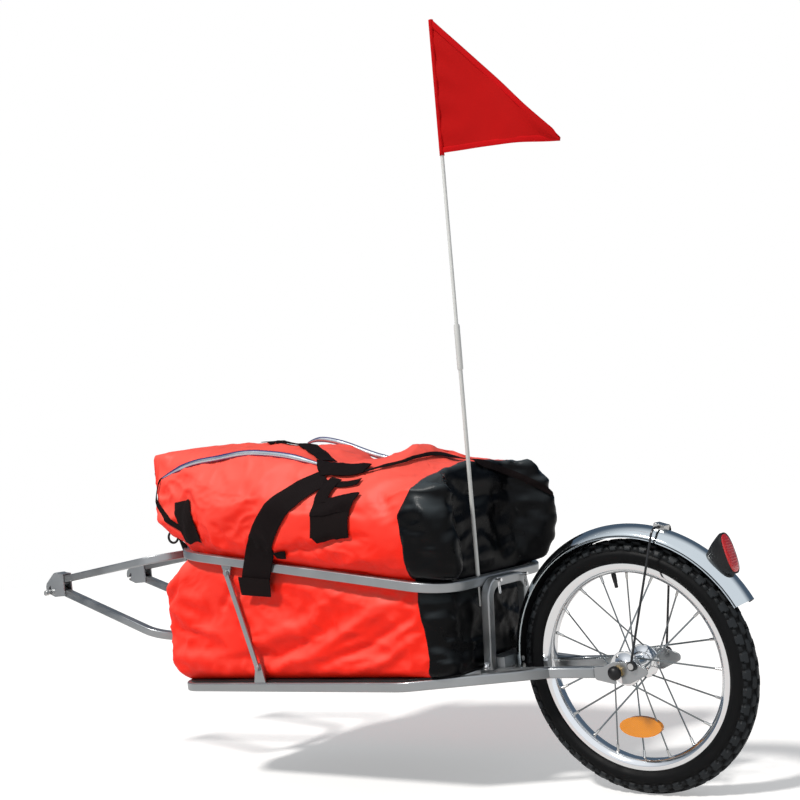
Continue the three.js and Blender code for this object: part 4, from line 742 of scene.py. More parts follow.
# The fender is pressed from thin steel and chromed. Its section is an arc with
# rolled lips, carried round the wheel on a radius that grows to the rear.
fender_front, fender_rear, fender_half, fender_sag, fender_thick = 0.212, 0.224, 0.028, 0.017, 0.0012
fender_from, fender_to, fender_steps = math.pi * 1.01, math.pi * 0.133, 120
curve = (fender_half ** 2 + fender_sag ** 2) / (2 * fender_sag)
spread = math.asin(fender_half / curve)
arc_angle = np.linspace(-spread, spread, 27)[:, None]
outer_side = np.concatenate([curve * np.sin(arc_angle), curve * (np.cos(arc_angle) - 1)], 1)
thin = curve - fender_thick
inner_side = np.concatenate([thin * np.sin(arc_angle), thin * np.cos(arc_angle) - curve], 1)[::-1]
lip_radius, lip_points = 0.0013, 6


def rolled(centre, first):
    """A small arc, a little over half a circle, that closes the two skins at a lip."""
    angle = first + np.linspace(0, math.pi * 1.15, lip_points)
    return np.stack([centre[0] + lip_radius * np.cos(angle), centre[1] + lip_radius * np.sin(angle)], 1)


lip_right = rolled(outer_side[-1] + (0.0004, -0.0012), 0.55)[::-1]
lip_left = lip_right[::-1] * (-1, 1)
fender_section = np.concatenate([outer_side[1:-1], lip_right, inner_side[1:-1], lip_left])
share = np.linspace(0, 1, fender_steps + 1)[:, None]
radius = fender_front + (fender_rear - fender_front) * share + fender_section[:, 1]
around = np.broadcast_to(fender_from + (fender_to - fender_from) * share, radius.shape)
points = about_axle(radius, np.broadcast_to(fender_section[:, 0], radius.shape), around)
fender_mesh = creased(outward(grid_mesh("fender", points)), 60)
# The inner face, towards the tyre, is painted near black and rough: painted shade, and the painted reflection
# of the black tyre it faces.
inside = np.zeros(points.shape[:2])
inside_start = len(outer_side) + 3
inside[:, inside_start:inside_start + len(inner_side)] = 1
painted(fender_mesh, "inside", inside)
fender_chrome = hard_finish("fender_chrome", (0.66, 0.71, 0.73), 0.07, 1.0, 0.03, 0.05, 0.004)
masked(fender_chrome, "inside", (0.012, 0.012, 0.013), 0.6)
place_piece("fender_made", fender_mesh, "frame", fender_chrome, ["fender"])

# The flag's pole is a white plastic-coated rod in two lengths. A sleeve joins
# them, and a thin pin at the foot drops into the upper loop.
pole_foot = np.array([1.160008, -0.055, -0.05424])
pole_axis = unit(np.array([0.0678433, 0, 0.997696]))
pole_across = np.array([0.997696, 0, -0.0678433])
pole_white = hard_finish("pole_white", (0.66, 0.67, 0.655), 0.32, 0.0, 0.12, 0.1, 0.03, Coat_Weight=0.3)
pin_length, pole_radius, tip_radius, pole_joint, pole_top = 0.051, 0.0035, 0.0030, 0.3842, 0.9485
for name, profile in (
        ("flag_pole_lower", [(-pin_length, 0.0005), (-pin_length, 0.0017), (-0.0005, 0.0017), (0, 0.0034),
                             (0.001, pole_radius), (pole_joint, pole_radius), (pole_joint, 0.001)]),
        ("flag_pole_ferrule", [(0.346, 0.0037), (0.346, 0.0046), (0.348, 0.0051), (0.4205, 0.0051),
                               (0.423, 0.0044), (0.423, 0.0032)]),
        ("flag_pole_upper", [(0.3845, 0.001), (0.3845, pole_radius), (0.4225, pole_radius),
                             (0.424, tip_radius), (0.9470, tip_radius), (pole_top, 0.0022),
                             (pole_top, 0.0005)])):
    mesh = straight_turned(name, [pole_foot], [pole_axis], profile, 24)
    place_piece(name + "_made", mesh, "flag_pole", pole_white, [name])

# The flag is one triangle of thin woven cloth, hemmed on all sides, with a sleeve
# sewn along its hoist. It hangs from the pole and ripples a little towards its tip.
flag_low, flag_top, flag_fly, flag_drop, flag_blunt = 0.718, 0.950, 0.226, 0.035, 0.009
sleeve_radius, sleeve_past, cloth_from, cloth_thick = 0.0043, 0.004, 0.0030, 0.0005
fly, rise_share = np.meshgrid(np.linspace(0, 1, 90), np.linspace(0, 1, 70))
low_edge = flag_low - flag_drop * fly + 0.003 * np.sin(math.pi * fly)
top_edge = flag_top - (flag_top - flag_low + flag_drop - flag_blunt) * fly
height = low_edge + (top_edge - low_edge) * rise_share
along = cloth_from + flag_fly * fly - 0.0025 * soft_step(fly, 0.95, 1) * np.abs(rise_share - 0.4) * 2
wave = np.sin(2 * math.pi * (1.15 * fly - 0.25 * rise_share) + 0.6)
small_wave = np.sin(2 * math.pi * (2.6 * fly + 0.8 * rise_share))
gathers = np.exp(-(fly / 0.16) ** 2) * np.sin(2 * math.pi * 4.5 * rise_share)
ripple = fly * (0.0065 * wave + 0.002 * small_wave) + 0.0012 * gathers
cloth_points = (pole_foot + height[..., None] * pole_axis + along[..., None] * pole_across
                + np.stack([0 * ripple, ripple - 0.0006, 0 * ripple], -1))


def cloth_uv(mesh, points, u_size, v_size):
    """A UV map in metres of cloth, so that the weave keeps its scale."""
    layer = mesh.uv_layers.new(name="cloth")
    rows, columns = points.shape[:2]
    index = np.zeros(len(mesh.loops), int)
    mesh.loops.foreach_get("vertex_index", index)
    along, up = (index % columns) / (columns - 1), (index // columns) / (rows - 1)
    layer.data.foreach_set("uv", np.stack([along * u_size, up * v_size], 1).astype(np.float32).ravel())


# Woven cloth: threads over and under at right angles, with small changes of tone
# from thread to thread, slow creases, and a relief that follows them.
weave, given, gives = new_group(
    "weave", [("Colour", COLOUR, (0.5, 0.1, 0.1, 1)), ("Threads", FLOAT, 900.0), ("Crease Scale", FLOAT, 9.0),
              ("Crease", FLOAT, 0.5), ("Roughness", FLOAT, 0.5)],
    [("Colour", COLOUR), ("Roughness", FLOAT), ("Thread Height", FLOAT), ("Crease Height", FLOAT)])
place = node(weave, "ShaderNodeTexCoord")
threads = []
for direction_name in ("X", "Y"):
    wave = node(weave, "ShaderNodeTexWave", bands_direction=direction_name, Distortion=0.6, Detail=1.0)
    weave.links.new(place.outputs["UV"], wave.inputs["Vector"])
    weave.links.new(given.outputs["Threads"], wave.inputs["Scale"])
    threads.append(wave.outputs["Fac"])
over = math_node(weave, "MULTIPLY", threads[0], threads[1])
weave.links.new(over, gives.inputs["Thread Height"])
warp = node(weave, "ShaderNodeTexNoise", Scale=5.0, Detail=2.0)
weave.links.new(place.outputs["Object"], warp.inputs["Vector"])
bend = node(weave, "ShaderNodeVectorMath", operation="MULTIPLY_ADD")
weave.links.new(warp.outputs["Color"], bend.inputs[0])
bend.inputs[1].default_value = (0.12, 0.12, 0.12)
weave.links.new(place.outputs["Object"], bend.inputs[2])
crease = node(weave, "ShaderNodeTexNoise", noise_type="RIDGED_MULTIFRACTAL", Detail=4.0, Roughness=0.45)
weave.links.new(bend.outputs[0], crease.inputs["Vector"])
weave.links.new(given.outputs["Crease Scale"], crease.inputs["Scale"])
height = math_node(weave, "MULTIPLY", crease.outputs["Fac"], given.outputs["Crease"])
weave.links.new(height, gives.inputs["Crease Height"])
slow = node(weave, "ShaderNodeTexNoise", Scale=14.0, Detail=3.0)
weave.links.new(place.outputs["Object"], slow.inputs["Vector"])
level = math_node(weave, "MULTIPLY_ADD", slow.outputs["Fac"], 0.22, 0.89)
scaled = node(weave, "ShaderNodeVectorMath", operation="SCALE")
weave.links.new(given.outputs["Colour"], scaled.inputs[0])
weave.links.new(math_node(weave, "MULTIPLY_ADD", over, -0.12, level), scaled.inputs["Scale"])
weave.links.new(scaled.outputs[0], gives.inputs["Colour"])
gloss = math_node(weave, "MULTIPLY_ADD", slow.outputs["Fac"], 0.16, given.outputs["Roughness"])
weave.links.new(gloss, gives.inputs["Roughness"])


def cloth_finish(name, colour, roughness, threads, crease_scale, crease, thread_relief, crease_relief,
                 specular):
    """A Principled cloth from the shared weave; the crease relief comes first, then the threads."""
    values = {"Threads": threads, "Crease Scale": crease_scale, "Crease": crease, "Roughness": roughness}
    made, group = finish_from(weave, name, colour, values, {"Specular_IOR_Level": specular})
    bumped(made.node_tree, group.outputs["Crease Height"], crease_relief, fold_depth)
    bumped(made.node_tree, group.outputs["Thread Height"], thread_relief, thread_depth)
    return made


flag_cloth = cloth_finish("flag_cloth", (0.50, 0.009, 0.009), 0.62, 900.0, 6.0, 0.25, 0.25, 0.15, 0.02)
hem_cloth = cloth_finish("flag_hem", (0.58, 0.008, 0.010), 0.60, 900.0, 14.0, 0.4, 0.3, 0.3, 0.02)
flag_mesh = grid_mesh("flag", cloth_points, False, False, False)
cloth_uv(flag_mesh, cloth_points, flag_fly, flag_top - flag_low)
flag = place_piece("flag_cloth_made", flag_mesh, "flag_cloth", flag_cloth, ["flag"])
thick = flag.modifiers.new("thickness", "SOLIDIFY")
thick.thickness, thick.offset = cloth_thick, 0.0


def edge_strip(name, rows, inward, width):
    """A folded hem: a strip along an edge line, with its width at each row, on both faces of the cloth."""
    side_step = np.linspace(-0.05, 1, 6)
    front = rows[:, None] + inward[:, None] * (side_step * width[:, None])[..., None]
    offset = np.zeros_like(front)
    offset[..., 1] = hem_lift * (1 - 0.6 * (2 * side_step - 1) ** 6)
    points = np.concatenate([front - offset, (front + offset)[:, ::-1]], 1)
    return outward(grid_mesh(name, points))


hem_lift, hem_most = 0.0011, 0.0095
room = np.linalg.norm(cloth_points[-1] - cloth_points[0], axis=1)
hem_width = np.minimum(hem_most, 0.5 * room)
for name, rows, towards in (("flag_hem_top", cloth_points[-1], cloth_points[0]),
                            ("flag_hem_low", cloth_points[0], cloth_points[-1])):
    run = unit(np.gradient(rows, axis=0))
    inward = unit(towards - rows - run * np.sum((towards - rows) * run, 1, keepdims=True))
    mesh = edge_strip(name, rows, inward, hem_width)
    mesh.uv_layers.new(name="cloth")
    place_piece(name, mesh, "flag_cloth", hem_cloth)
sleeve_height = np.linspace(flag_low - sleeve_past, flag_top + 0.001, 60)
sleeve_angle = whole_turn(20)
pucker = 1 + 0.05 * np.sin(sleeve_height * 330)[:, None] * (1 + np.cos(sleeve_angle))[None, :]
sleeve_points = (pole_foot + sleeve_height[:, None, None] * pole_axis
                 + (sleeve_radius * pucker * np.cos(sleeve_angle))[..., None] * pole_across
                 + (sleeve_radius * pucker * np.sin(sleeve_angle))[..., None] * np.array([0, 1, 0]))
sleeve_mesh = outward(grid_mesh("flag_sleeve", sleeve_points))
sleeve_mesh.uv_layers.new(name="cloth")
place_piece("flag_sleeve", sleeve_mesh, "flag_cloth", hem_cloth)

# The load is a soft bag of coated nylon that stands between the loops and bulges
# over the upper one. Its skin is one stack of outlines: floor, sides drawn in at
# the loop, and a domed top with a straight front edge.
bag_low = -0.2055
ridge_at = [0.40, 0.463, 0.618, 0.759, 0.800, 0.863, 0.900, 0.935, 0.985, 1.032, 1.078, 1.135, 1.205]
ridge_level = [0.252, 0.251, 0.238, 0.216, 0.208, 0.188, 0.172, 0.160, 0.170, 0.178, 0.172, 0.148, 0.126]
strip_at = [0.40, 0.444, 0.568, 0.687, 0.795, 0.906, 0.993, 1.070, 1.135, 1.165, 1.205]
strip_level = [0.192, 0.195, 0.212, 0.212, 0.197, 0.167, 0.146, 0.130, 0.118, 0.114, 0.106]
pinch_half, strip_half, shoulder_half, shoulder_fall = 0.150, 0.120, 0.172, 0.065


def eased(at, level, width=0.02):
    """A table of levels as a smooth function: the straight runs averaged over a short width."""
    fine = np.linspace(at[0], at[-1], 400)
    rows = np.interp(fine, at, level)
    step = fine[1] - fine[0]
    kernel = np.exp(-((np.arange(-60, 61) * step / width) ** 2))
    padded = np.pad(rows, 60, mode="edge")
    rows = np.convolve(padded, kernel / kernel.sum(), "valid")
    return lambda x: np.interp(x, fine, rows)


ridge, strip = eased(ridge_at, ridge_level), eased(strip_at, strip_level)


def top_level(x, y):
    """The bag's top: a crown between two strips, then shoulders that fall with the
    power 1.5 of the distance beyond them. The crown is flat at the front edge."""
    side = np.abs(y)
    power = 2 + 9 * (1 - soft_step(x, 0.45, 0.66)) + 30 * (1 - soft_step(x, 0.432, 0.47))
    crown = strip(x) + (ridge(x) - strip(x)) * (1 - np.minimum(side / strip_half, 1) ** power)
    rear = np.interp(y, [-0.175, -0.138, -0.078, -0.007, 0.06, 0.10, 0.13, 0.16],
                     [0.101, 0.107, 0.124, 0.134, 0.136, 0.131, 0.127, 0.110])
    rear = rear - 0.17 * (x - 1.135)
    beyond = np.maximum(side - strip_half, 0) / (shoulder_half - strip_half)
    crown = crown - np.interp(x, [0.90, 1.05], [shoulder_fall, 0.045]) * beyond ** 1.5
    crown = crown + (rear - crown) * soft_step(x, 1.04, 1.13)
    valley = np.exp(-((x - 0.943 + 0.84 * y) / 0.040) ** 2) * soft_step(y, -0.07, 0.0)
    return crown - valley * np.maximum(crown - 0.158, 0)


def rounded_outline(front, rear, half, front_radius, rear_radius):
    """A rectangle with round corners as (back, aside) rows, with the same count of
    points on each side and corner whatever its size."""
    corners = [(rear, -half, rear_radius, -0.5), (rear, half, rear_radius, 0.0),
               (front, half, front_radius, 0.5), (front, -half, front_radius, 1.0)]
    arcs = []
    for number, (x, y, radius, start) in enumerate(corners):
        angle = (start + np.linspace(0, 0.5, (18, 18, 22, 22)[number])) * math.pi
        centre = np.array([x - math.copysign(radius, x - (front + rear) / 2), y - math.copysign(radius, y)])
        arcs.append(centre + radius * np.stack([np.cos(angle), np.sin(angle)], 1))
    rows = []
    for number, count in enumerate((46, 136, 44, 136)):
        arc, following = arcs[number], arcs[(number + 1) % 4]
        share = np.linspace(0, 1, count + 2)[1:-1, None]
        rows += [arc, arc[-1] + (following[0] - arc[-1]) * share]
    return np.concatenate(rows)


upper_bag_rear, lower_bag_rear = 1.139, 1.137
floor_rings, lower_rows, upper_rows, top_rings = 26, 44, 44, 34


def side_row(share, above):
    """One outline of the bag's side, at a share of its height below or above the loop."""
    if above:
        front = np.interp(share, [0, 0.06, 0.15, 0.30, 0.44, 1], [0.472, 0.474, 0.470, 0.443, 0.424, 0.418])
        front_radius = np.interp(share, [0, 0.15, 0.5, 1], [0.118, 0.10, 0.045, 0.018])
        rear_radius = np.interp(share, [0, 1], [0.046, 0.032])
        row = rounded_outline(front, upper_bag_rear, pinch_half, front_radius, rear_radius)
        middle = np.interp(share, [0, 0.05, 0.13, 0.30, 0.55, 0.79, 1],
                           [0.150, 0.153, 0.166, 0.176, 0.182, 0.181, shoulder_half])
        fore = np.interp(share, [0, 0.10, 0.35, 0.75, 1], [0.150, 0.152, 0.150, 0.133, 0.124])
        blend = soft_step(row[:, 0], 0.47, 0.70)
        half = fore + (middle - fore) * blend
        lobe = np.interp(share, [0, 0.05, 0.12, 0.3, 0.7, 1], [0.0, 0.012, 0.038, 0.052, 0.054, 0.044])
        push = lobe * soft_step(np.abs(row[:, 1]), 0.078, 0.125) * soft_step(row[:, 0], 1.06, 1.135)
    else:
        front = np.interp(share, [0, 0.05, 0.15, 0.5, 0.72, 0.88, 1],
                          [0.458, 0.448, 0.441, 0.438, 0.443, 0.462, 0.477])
        front_radius = np.interp(share, [0, 0.15, 0.7, 1], [0.040, 0.032, 0.038, 0.118])
        row = rounded_outline(front, lower_bag_rear, pinch_half, front_radius, 0.042)
        half = np.full(len(row), np.interp(share, [0, 0.03, 0.07, 0.14, 0.9, 1],
                                           [0.137, 0.144, 0.1475, 0.149, 0.149, 0.149]))
        bow = np.interp(share, [0, 0.3, 0.8, 1], [0.006, 0.024, 0.022, 0.004])
        push = bow * (1 - soft_step(np.abs(row[:, 1]), 0.100, 0.140)) * (1 - soft_step(row[:, 0], 0.46, 0.52))
    return np.stack([row[:, 0] + push, row[:, 1] / pinch_half * half], 1)


edge = side_row(0.0, False)
rows = []
for share in np.linspace(1, 0, floor_rings, endpoint=False):
    ring = edge.copy()
    ring[:, 1] *= 1 - share
    ring[:, 0] = edge[:, 0] + (np.clip(edge[:, 0], 0.59, 1.005) - edge[:, 0]) * share
    rows.append(np.column_stack([ring, np.full(len(ring), bag_low)]))
for share in np.linspace(0, 1, lower_rows, endpoint=False):
    row = side_row(share, False)
    level = bag_low + (upper_level(row[:, 0]) - bag_low) * share
    rows.append(np.column_stack([row, level]))
lip_row = side_row(1.0, True)
lip_level = top_level(lip_row[:, 0], lip_row[:, 1])
for share in np.linspace(0, 1, upper_rows, endpoint=False):
    row = side_row(share, True)
    base = upper_level(row[:, 0])
    rows.append(np.column_stack([row, base + (lip_level - base) * share]))
for share in np.linspace(0, 1, top_rings):
    ring = lip_row.copy()
    ring[:, 1] *= 1 - share
    ring[:, 0] += (np.clip(lip_row[:, 0], 0.55, 1.02) - lip_row[:, 0]) * share
    rows.append(np.column_stack([ring, top_level(ring[:, 0], ring[:, 1])]))
bag_points = np.stack(rows)


# Wrinkles come from smooth lattice noise: at each lattice point stands a random
# slope, and the slopes of the eight points round a place are blended.
def lattice_noise(points, scale, seed):
    """Smooth noise from -1 to 1 at each row of points."""
    rng = np.random.default_rng(seed)
    slopes = unit(rng.normal(size=(slope_count, 3)))
    order = rng.permutation(slope_count)
    place = points * scale
    cell = np.floor(place).astype(int)
    local = place - cell
    blend = local ** 3 * (local * (local * 6 - 15) + 10)
    total = np.zeros(len(points))
    for corner in np.ndindex(2, 2, 2):
        at = cell + corner
        number = order[at[:, 0] % slope_count]
        number = order[(number + at[:, 1]) % slope_count]
        number = order[(number + at[:, 2]) % slope_count]
        reach = np.sum(slopes[number] * (local - corner), 1)
        weight = np.prod(np.where(np.array(corner) == 1, blend, 1 - blend), 1)
        total += weight * reach
    return total * noise_gain


slope_count, noise_gain = 256, 1.6
crest_bend, crest_power, crest_level = 6.0, 2.2, 0.35


def creases(points, stretch, scale, seed, warp=0.02):
    """Long crests: one less the size of the noise, on places bent by slower noise."""
    bent = points + warp * np.stack([lattice_noise(points, crest_bend, seed + k) for k in (1, 2, 3)], 1)
    crest = 1 - np.abs(lattice_noise(bent * stretch, scale, seed))
    return np.clip(crest, 0, 1) ** crest_power - crest_level


def fold(points, line, width, height, width_end=None):
    """A fold along a line: a bell of the distance from it, fading at both ends."""
    line = np.array(line, float)
    length = np.concatenate([[0], np.cumsum(np.linalg.norm(np.diff(line, axis=0), axis=1))])
    nearest, along = np.full(len(points), np.inf), np.zeros(len(points))
    for start, end, at in zip(line, line[1:], length):
        run = end - start
        share = np.clip(((points - start) @ run) / (run @ run), 0, 1)
        distance = np.linalg.norm(points - start - share[:, None] * run, axis=1)
        closer = distance < nearest
        nearest = np.where(closer, distance, nearest)
        along = np.where(closer, at + share * np.linalg.norm(run), along)
    share = along / length[-1]
    wide = width + ((width_end or width) - width) * share
    return height * np.exp(-(nearest / wide) ** 2) * np.sin(math.pi * np.clip(share, 0.04, 0.96)) ** 0.5


def seam_back(y, z):
    """How far back the red cloth ends: along the sides by height, nearly straight over the top."""
    side = np.interp(z, [-0.207, -0.175, -0.065, 0.013, 0.062, 0.085, 0.109, 0.130],
                     [1.099, 1.109, 1.103, 1.114, 1.110, 1.126, 1.140, 1.136])
    return np.where(np.abs(y) > 0.11, side, 1.134 + 0.002 * np.sin(60 * y))


# The folds that show, each a line on the near side: (width, height, points).
near_folds = [
    (0.011, 0.0060, [(0.475, -0.150, 0.030), (0.458, -0.149, -0.010), (0.448, -0.146, -0.045)]),
    (0.009, -0.0050, [(0.512, -0.152, 0.028), (0.490, -0.151, -0.030), (0.452, -0.148, -0.055)]),
    (0.010, 0.0045, [(0.455, -0.149, -0.060), (0.500, -0.152, -0.078), (0.545, -0.153, -0.090)]),
    (0.008, -0.0040, [(0.458, -0.149, -0.094), (0.500, -0.151, -0.110), (0.552, -0.152, -0.118)]),
    (0.012, 0.0045, [(0.470, -0.150, -0.150), (0.520, -0.152, -0.165), (0.585, -0.152, -0.160)]),
    (0.009, -0.0045, [(0.615, -0.152, -0.075), (0.640, -0.153, -0.048), (0.690, -0.152, -0.040)]),
    (0.012, 0.0050, [(0.590, -0.152, -0.110), (0.640, -0.153, -0.140), (0.720, -0.153, -0.140),
                     (0.880, -0.152, -0.095)]),
    (0.009, -0.0050, [(0.640, -0.152, -0.165), (0.760, -0.153, -0.165), (0.900, -0.152, -0.118)]),
    (0.011, 0.0050, [(0.740, -0.151, -0.190), (0.860, -0.153, -0.160), (0.990, -0.152, -0.100),
                     (1.075, -0.150, -0.070)]),
    (0.008, -0.0045, [(0.860, -0.151, -0.185), (0.980, -0.153, -0.150), (1.085, -0.150, -0.105)]),
    (0.008, 0.0040, [(0.930, -0.151, -0.195), (1.020, -0.152, -0.175), (1.090, -0.150, -0.140)]),
    (0.007, -0.0035, [(0.930, -0.152, -0.045), (1.010, -0.152, -0.060), (1.080, -0.150, -0.080)]),
    (0.011, 0.0055, [(0.905, -0.180, 0.040), (0.965, -0.181, 0.060), (1.050, -0.176, 0.052)]),
    (0.008, -0.0060, [(0.880, -0.180, 0.020), (0.960, -0.180, 0.038), (1.060, -0.174, 0.030)]),
    (0.010, 0.0050, [(0.800, -0.178, 0.030), (0.850, -0.180, 0.060), (0.940, -0.180, 0.082)]),
    (0.008, -0.0045, [(0.800, -0.176, 0.012), (0.870, -0.180, 0.030), (0.900, -0.178, 0.014)]),
    (0.010, 0.0050, [(0.570, -0.148, 0.145), (0.575, -0.156, 0.100), (0.560, -0.154, 0.062)]),
    (0.008, -0.0045, [(0.600, -0.150, 0.140), (0.604, -0.158, 0.100), (0.590, -0.155, 0.058)]),
    (0.009, 0.0045, [(0.665, -0.160, 0.135), (0.650, -0.168, 0.090), (0.655, -0.164, 0.045)]),
    (0.008, -0.0040, [(0.690, -0.158, 0.140), (0.680, -0.170, 0.095), (0.682, -0.166, 0.050)]),
    (0.007, 0.0035, [(0.700, -0.140, 0.180), (0.740, -0.150, 0.160), (0.790, -0.160, 0.150)]),
    (0.009, -0.0050, [(1.060, -0.172, 0.110), (1.085, -0.175, 0.075), (1.100, -0.172, 0.050)]),
]
end_folds = [
    (0.010, 0.0100, [(1.120, -0.165, 0.100), (1.150, -0.120, 0.108), (1.160, -0.080, 0.145)]),
    (0.009, -0.0080, [(1.140, -0.170, 0.078), (1.165, -0.140, 0.090), (1.170, -0.100, 0.118)]),
    (0.012, 0.0100, [(1.148, -0.075, 0.128), (1.150, -0.035, 0.100), (1.150, 0.040, 0.108),
                     (1.165, 0.095, 0.098)]),
    (0.010, -0.0080, [(1.148, -0.060, 0.095), (1.150, -0.010, 0.078), (1.152, 0.060, 0.088)]),
    (0.010, 0.0090, [(1.150, -0.145, 0.030), (1.170, -0.110, 0.048), (1.160, -0.075, 0.060)]),
    (0.009, 0.0080, [(1.148, -0.060, 0.045), (1.150, -0.005, 0.040), (1.152, 0.060, 0.062)]),
    (0.009, -0.0060, [(1.148, -0.070, 0.020), (1.150, 0.010, 0.015), (1.152, 0.070, 0.035)]),
    (0.010, 0.0070, [(1.115, -0.148, -0.040), (1.135, -0.140, -0.100), (1.125, -0.146, -0.170)]),
    (0.010, 0.0060, [(1.144, -0.100, -0.060), (1.144, -0.060, -0.110), (1.144, -0.090, -0.180)]),
    (0.009, 0.0090, [(1.190, 0.110, 0.128), (1.200, 0.130, 0.090), (1.200, 0.150, 0.040)]),
]
bag_mesh = grid_mesh("bag", bag_points, True, False, False)
columns = bag_points.shape[1]
with reshaped(bag_mesh) as shape:
    shape.verts.ensure_lookup_table()
    bmesh.ops.remove_doubles(shape, verts=shape.verts[:columns] + shape.verts[-columns:], dist=0.0004)
    bmesh.ops.dissolve_degenerate(shape, edges=shape.edges, dist=1e-6)
    bmesh.ops.holes_fill(shape, edges=[e for e in shape.edges if e.is_boundary])
    bmesh.ops.recalc_face_normals(shape, faces=shape.faces)


def read_rows(source, key):
    """Three numbers for each vertex of a mesh, as rows."""
    rows = np.zeros(len(source) * 3)
    source.foreach_get(key, rows)
    return rows.reshape(-1, 3)


rest, normals = read_rows(bag_mesh.vertices, "co"), read_rows(bag_mesh.vertex_normals, "vector")
over_loop = rest[:, 2] - upper_level(rest[:, 0])
black = soft_step(rest[:, 0] - seam_back(rest[:, 1], rest[:, 2]), -0.01, 0.03)
off_loop = soft_step(np.abs(over_loop), 0.010, 0.034)
near_loop = np.exp(-(np.abs(over_loop) / 0.055))
upright = 1 - np.abs(normals[:, 2])

# Wrinkles on the red cloth, pleats by the loop and deeper wrinkles on the black end:
# (height, stretch, scale, seed, warp). Then the listed folds, softer on the far side.
red_wrinkles = [(0.0090, (1, 1, 1.3), 7.0, 11, 0.045), (0.0045, (1, 1, 1.6), 17.0, 12, 0.025),
                (0.0014, (1, 1, 1.4), 44.0, 16, 0.01)]
pleats = [(0.0060, (1, 1, 0.22), 26.0, 13, 0.012)]
black_wrinkles = [(0.0130, (1, 1, 1.5), 11.0, 14, 0.045), (0.0065, (1, 1, 1.2), 25.0, 15, 0.02)]
near_gain, end_gain, red_share, most_move = 1.7, 1.15, 0.55, 0.011


def wrinkled(table):
    """The sum of a table's creases over the bag."""
    return sum(tall * creases(rest, stretch, scale, seed, warp) for tall, stretch, scale, seed, warp in table)


move = wrinkled(red_wrinkles) + near_loop * upright * wrinkled(pleats)
move = move * (1 - red_share * black) + black * wrinkled(black_wrinkles)
for width, tall, line in near_folds:
    mirrored = [(x + 0.03, -y, z - 0.01) for x, y, z in line]
    move = move + fold(rest, line, width, near_gain * tall) + fold(rest, mirrored, width, tall)
for width, tall, line in end_folds:
    move = move + fold(rest, line, end_gain * width, end_gain * tall)
move = np.where(black > 0.02, most_move * np.tanh(move / most_move), move)
on_floor = 1 - soft_step(rest[:, 2], bag_low, bag_low + 0.02)
front_edge = np.exp(-(((rest[:, 0] - 0.431) / 0.02) ** 2 + ((rest[:, 2] - 0.248) / 0.02) ** 2))
move = move * off_loop * (1 - 0.9 * on_floor) * (1 - 0.7 * front_edge)
settled = rest + normals * move[:, None]


def soft_stop(value, limit, give):
    """A value that bends off at a limit and goes past it by no more than give."""
    past = np.maximum(value - limit, 0)
    return value - past + give * np.tanh(past / give)


# Below the loop the cloth stays inside the struts, and bulges a little past the rail
# elsewhere. At the rear it stops before the hoop, but for the two lobes beside it.
rail_side, rail_give, strut_room = 0.1595, 0.004, 0.0060
hoop_stop, lobe_stop, lobe_from, rear_give = 1.1505, 1.214, 0.085, 0.006
side_stop, side_give, top_stop = 0.181, 0.005, 0.2525
below = over_loop < 0.012
strut_back = np.interp(settled[:, 2], [-0.2, 0.02], [0.675, 0.590])
by_strut = 1 - soft_step(np.abs(settled[:, 0] - strut_back), 0.016, 0.045)
limit = rail_side - strut_room * np.maximum(by_strut, 1 - soft_step(-over_loop, 0.016, 0.040))
held_in = soft_stop(np.abs(settled[:, 1]), limit - rail_give, rail_give)
settled[:, 1] = np.where(below, np.copysign(held_in, settled[:, 1]), settled[:, 1])
between_lobes = np.abs(settled[:, 1]) < lobe_from
limit = np.where(between_lobes | below, hoop_stop, lobe_stop) - rear_give
settled[:, 0] = soft_stop(settled[:, 0], limit, rear_give)
settled[:, 2] = np.clip(settled[:, 2], bag_low, top_stop)
# The front is dented where the yoke's lower hoop swings past it at full lock.
clearance = 0.003
reach = np.interp(np.abs(settled[:, 1]), [0, 0.03, 0.05, 0.07, 0.09, 0.11, 0.13, 0.15, 0.17],
                  [0.418, 0.435, 0.450, 0.458, 0.460, 0.460, 0.458, 0.450, 0.432]) + clearance
depth = soft_step(settled[:, 2], -0.178, -0.146) * (1 - soft_step(settled[:, 2], -0.084, -0.052))
settled[:, 0] += np.maximum(reach - settled[:, 0], 0) * np.minimum(1.3 * depth, 1)
# It also keeps clear of the head tube and of the two lugs behind it: (half width, low, high, back).
for half, low, high, back in ((0.0200, -0.2016, 0.0582, 0.4370), (0.0200, 0.0603, 0.0653, 0.4740),
                              (0.0200, -0.2087, -0.2037, 0.4780)):
    beside = 1 - soft_step(np.abs(settled[:, 1]), half + 0.004, half + 0.022)
    under = 1 - soft_step(settled[:, 2], high + 0.004, high + 0.022)
    level = soft_step(settled[:, 2], low - 0.022, low - 0.004) * under
    settled[:, 0] += np.maximum(back + clearance - settled[:, 0], 0) * beside * level
settled[:, 1] = np.copysign(soft_stop(np.abs(settled[:, 1]), side_stop, side_give), settled[:, 1])
bag_mesh.vertices.foreach_set("co", settled.ravel())
bag_mesh.update()

# The red cloth is painted paler where it faces the sky, a painted highlight, and deep red
# in the hollows and lower down, painted shade. The black coating has a painted sheen where
# it faces up and forward.
facing = read_rows(bag_mesh.vertex_normals, "vector")
painted_sky_light = 0.12 + 1.15 * facing[:, 2] + 0.16 * lattice_noise(rest, 9.0, 71) + 0.26 * soft_step(rest[:, 2],
                                                                                            -0.03, 0.13)
painted(bag_mesh, "painted_sky_light", np.clip(painted_sky_light, 0, 1))
painted(bag_mesh, "painted_sheen", np.clip((facing @ (0.25, -0.35, 0.90) - 0.42) / 0.5, 0, 1) ** 1.4)
bag_uv = bag_mesh.uv_layers.new(name="cloth")
index = np.zeros(len(bag_mesh.loops), int)
bag_mesh.loops.foreach_get("vertex_index", index)
flat = np.abs(normals[:, 2:]) > 0.72
along_side = rest[:, 0] - rest[:, 1] * np.sign(normals[:, 0])
pairs = np.where(flat, rest[:, :2], np.stack([along_side, rest[:, 2]], 1))
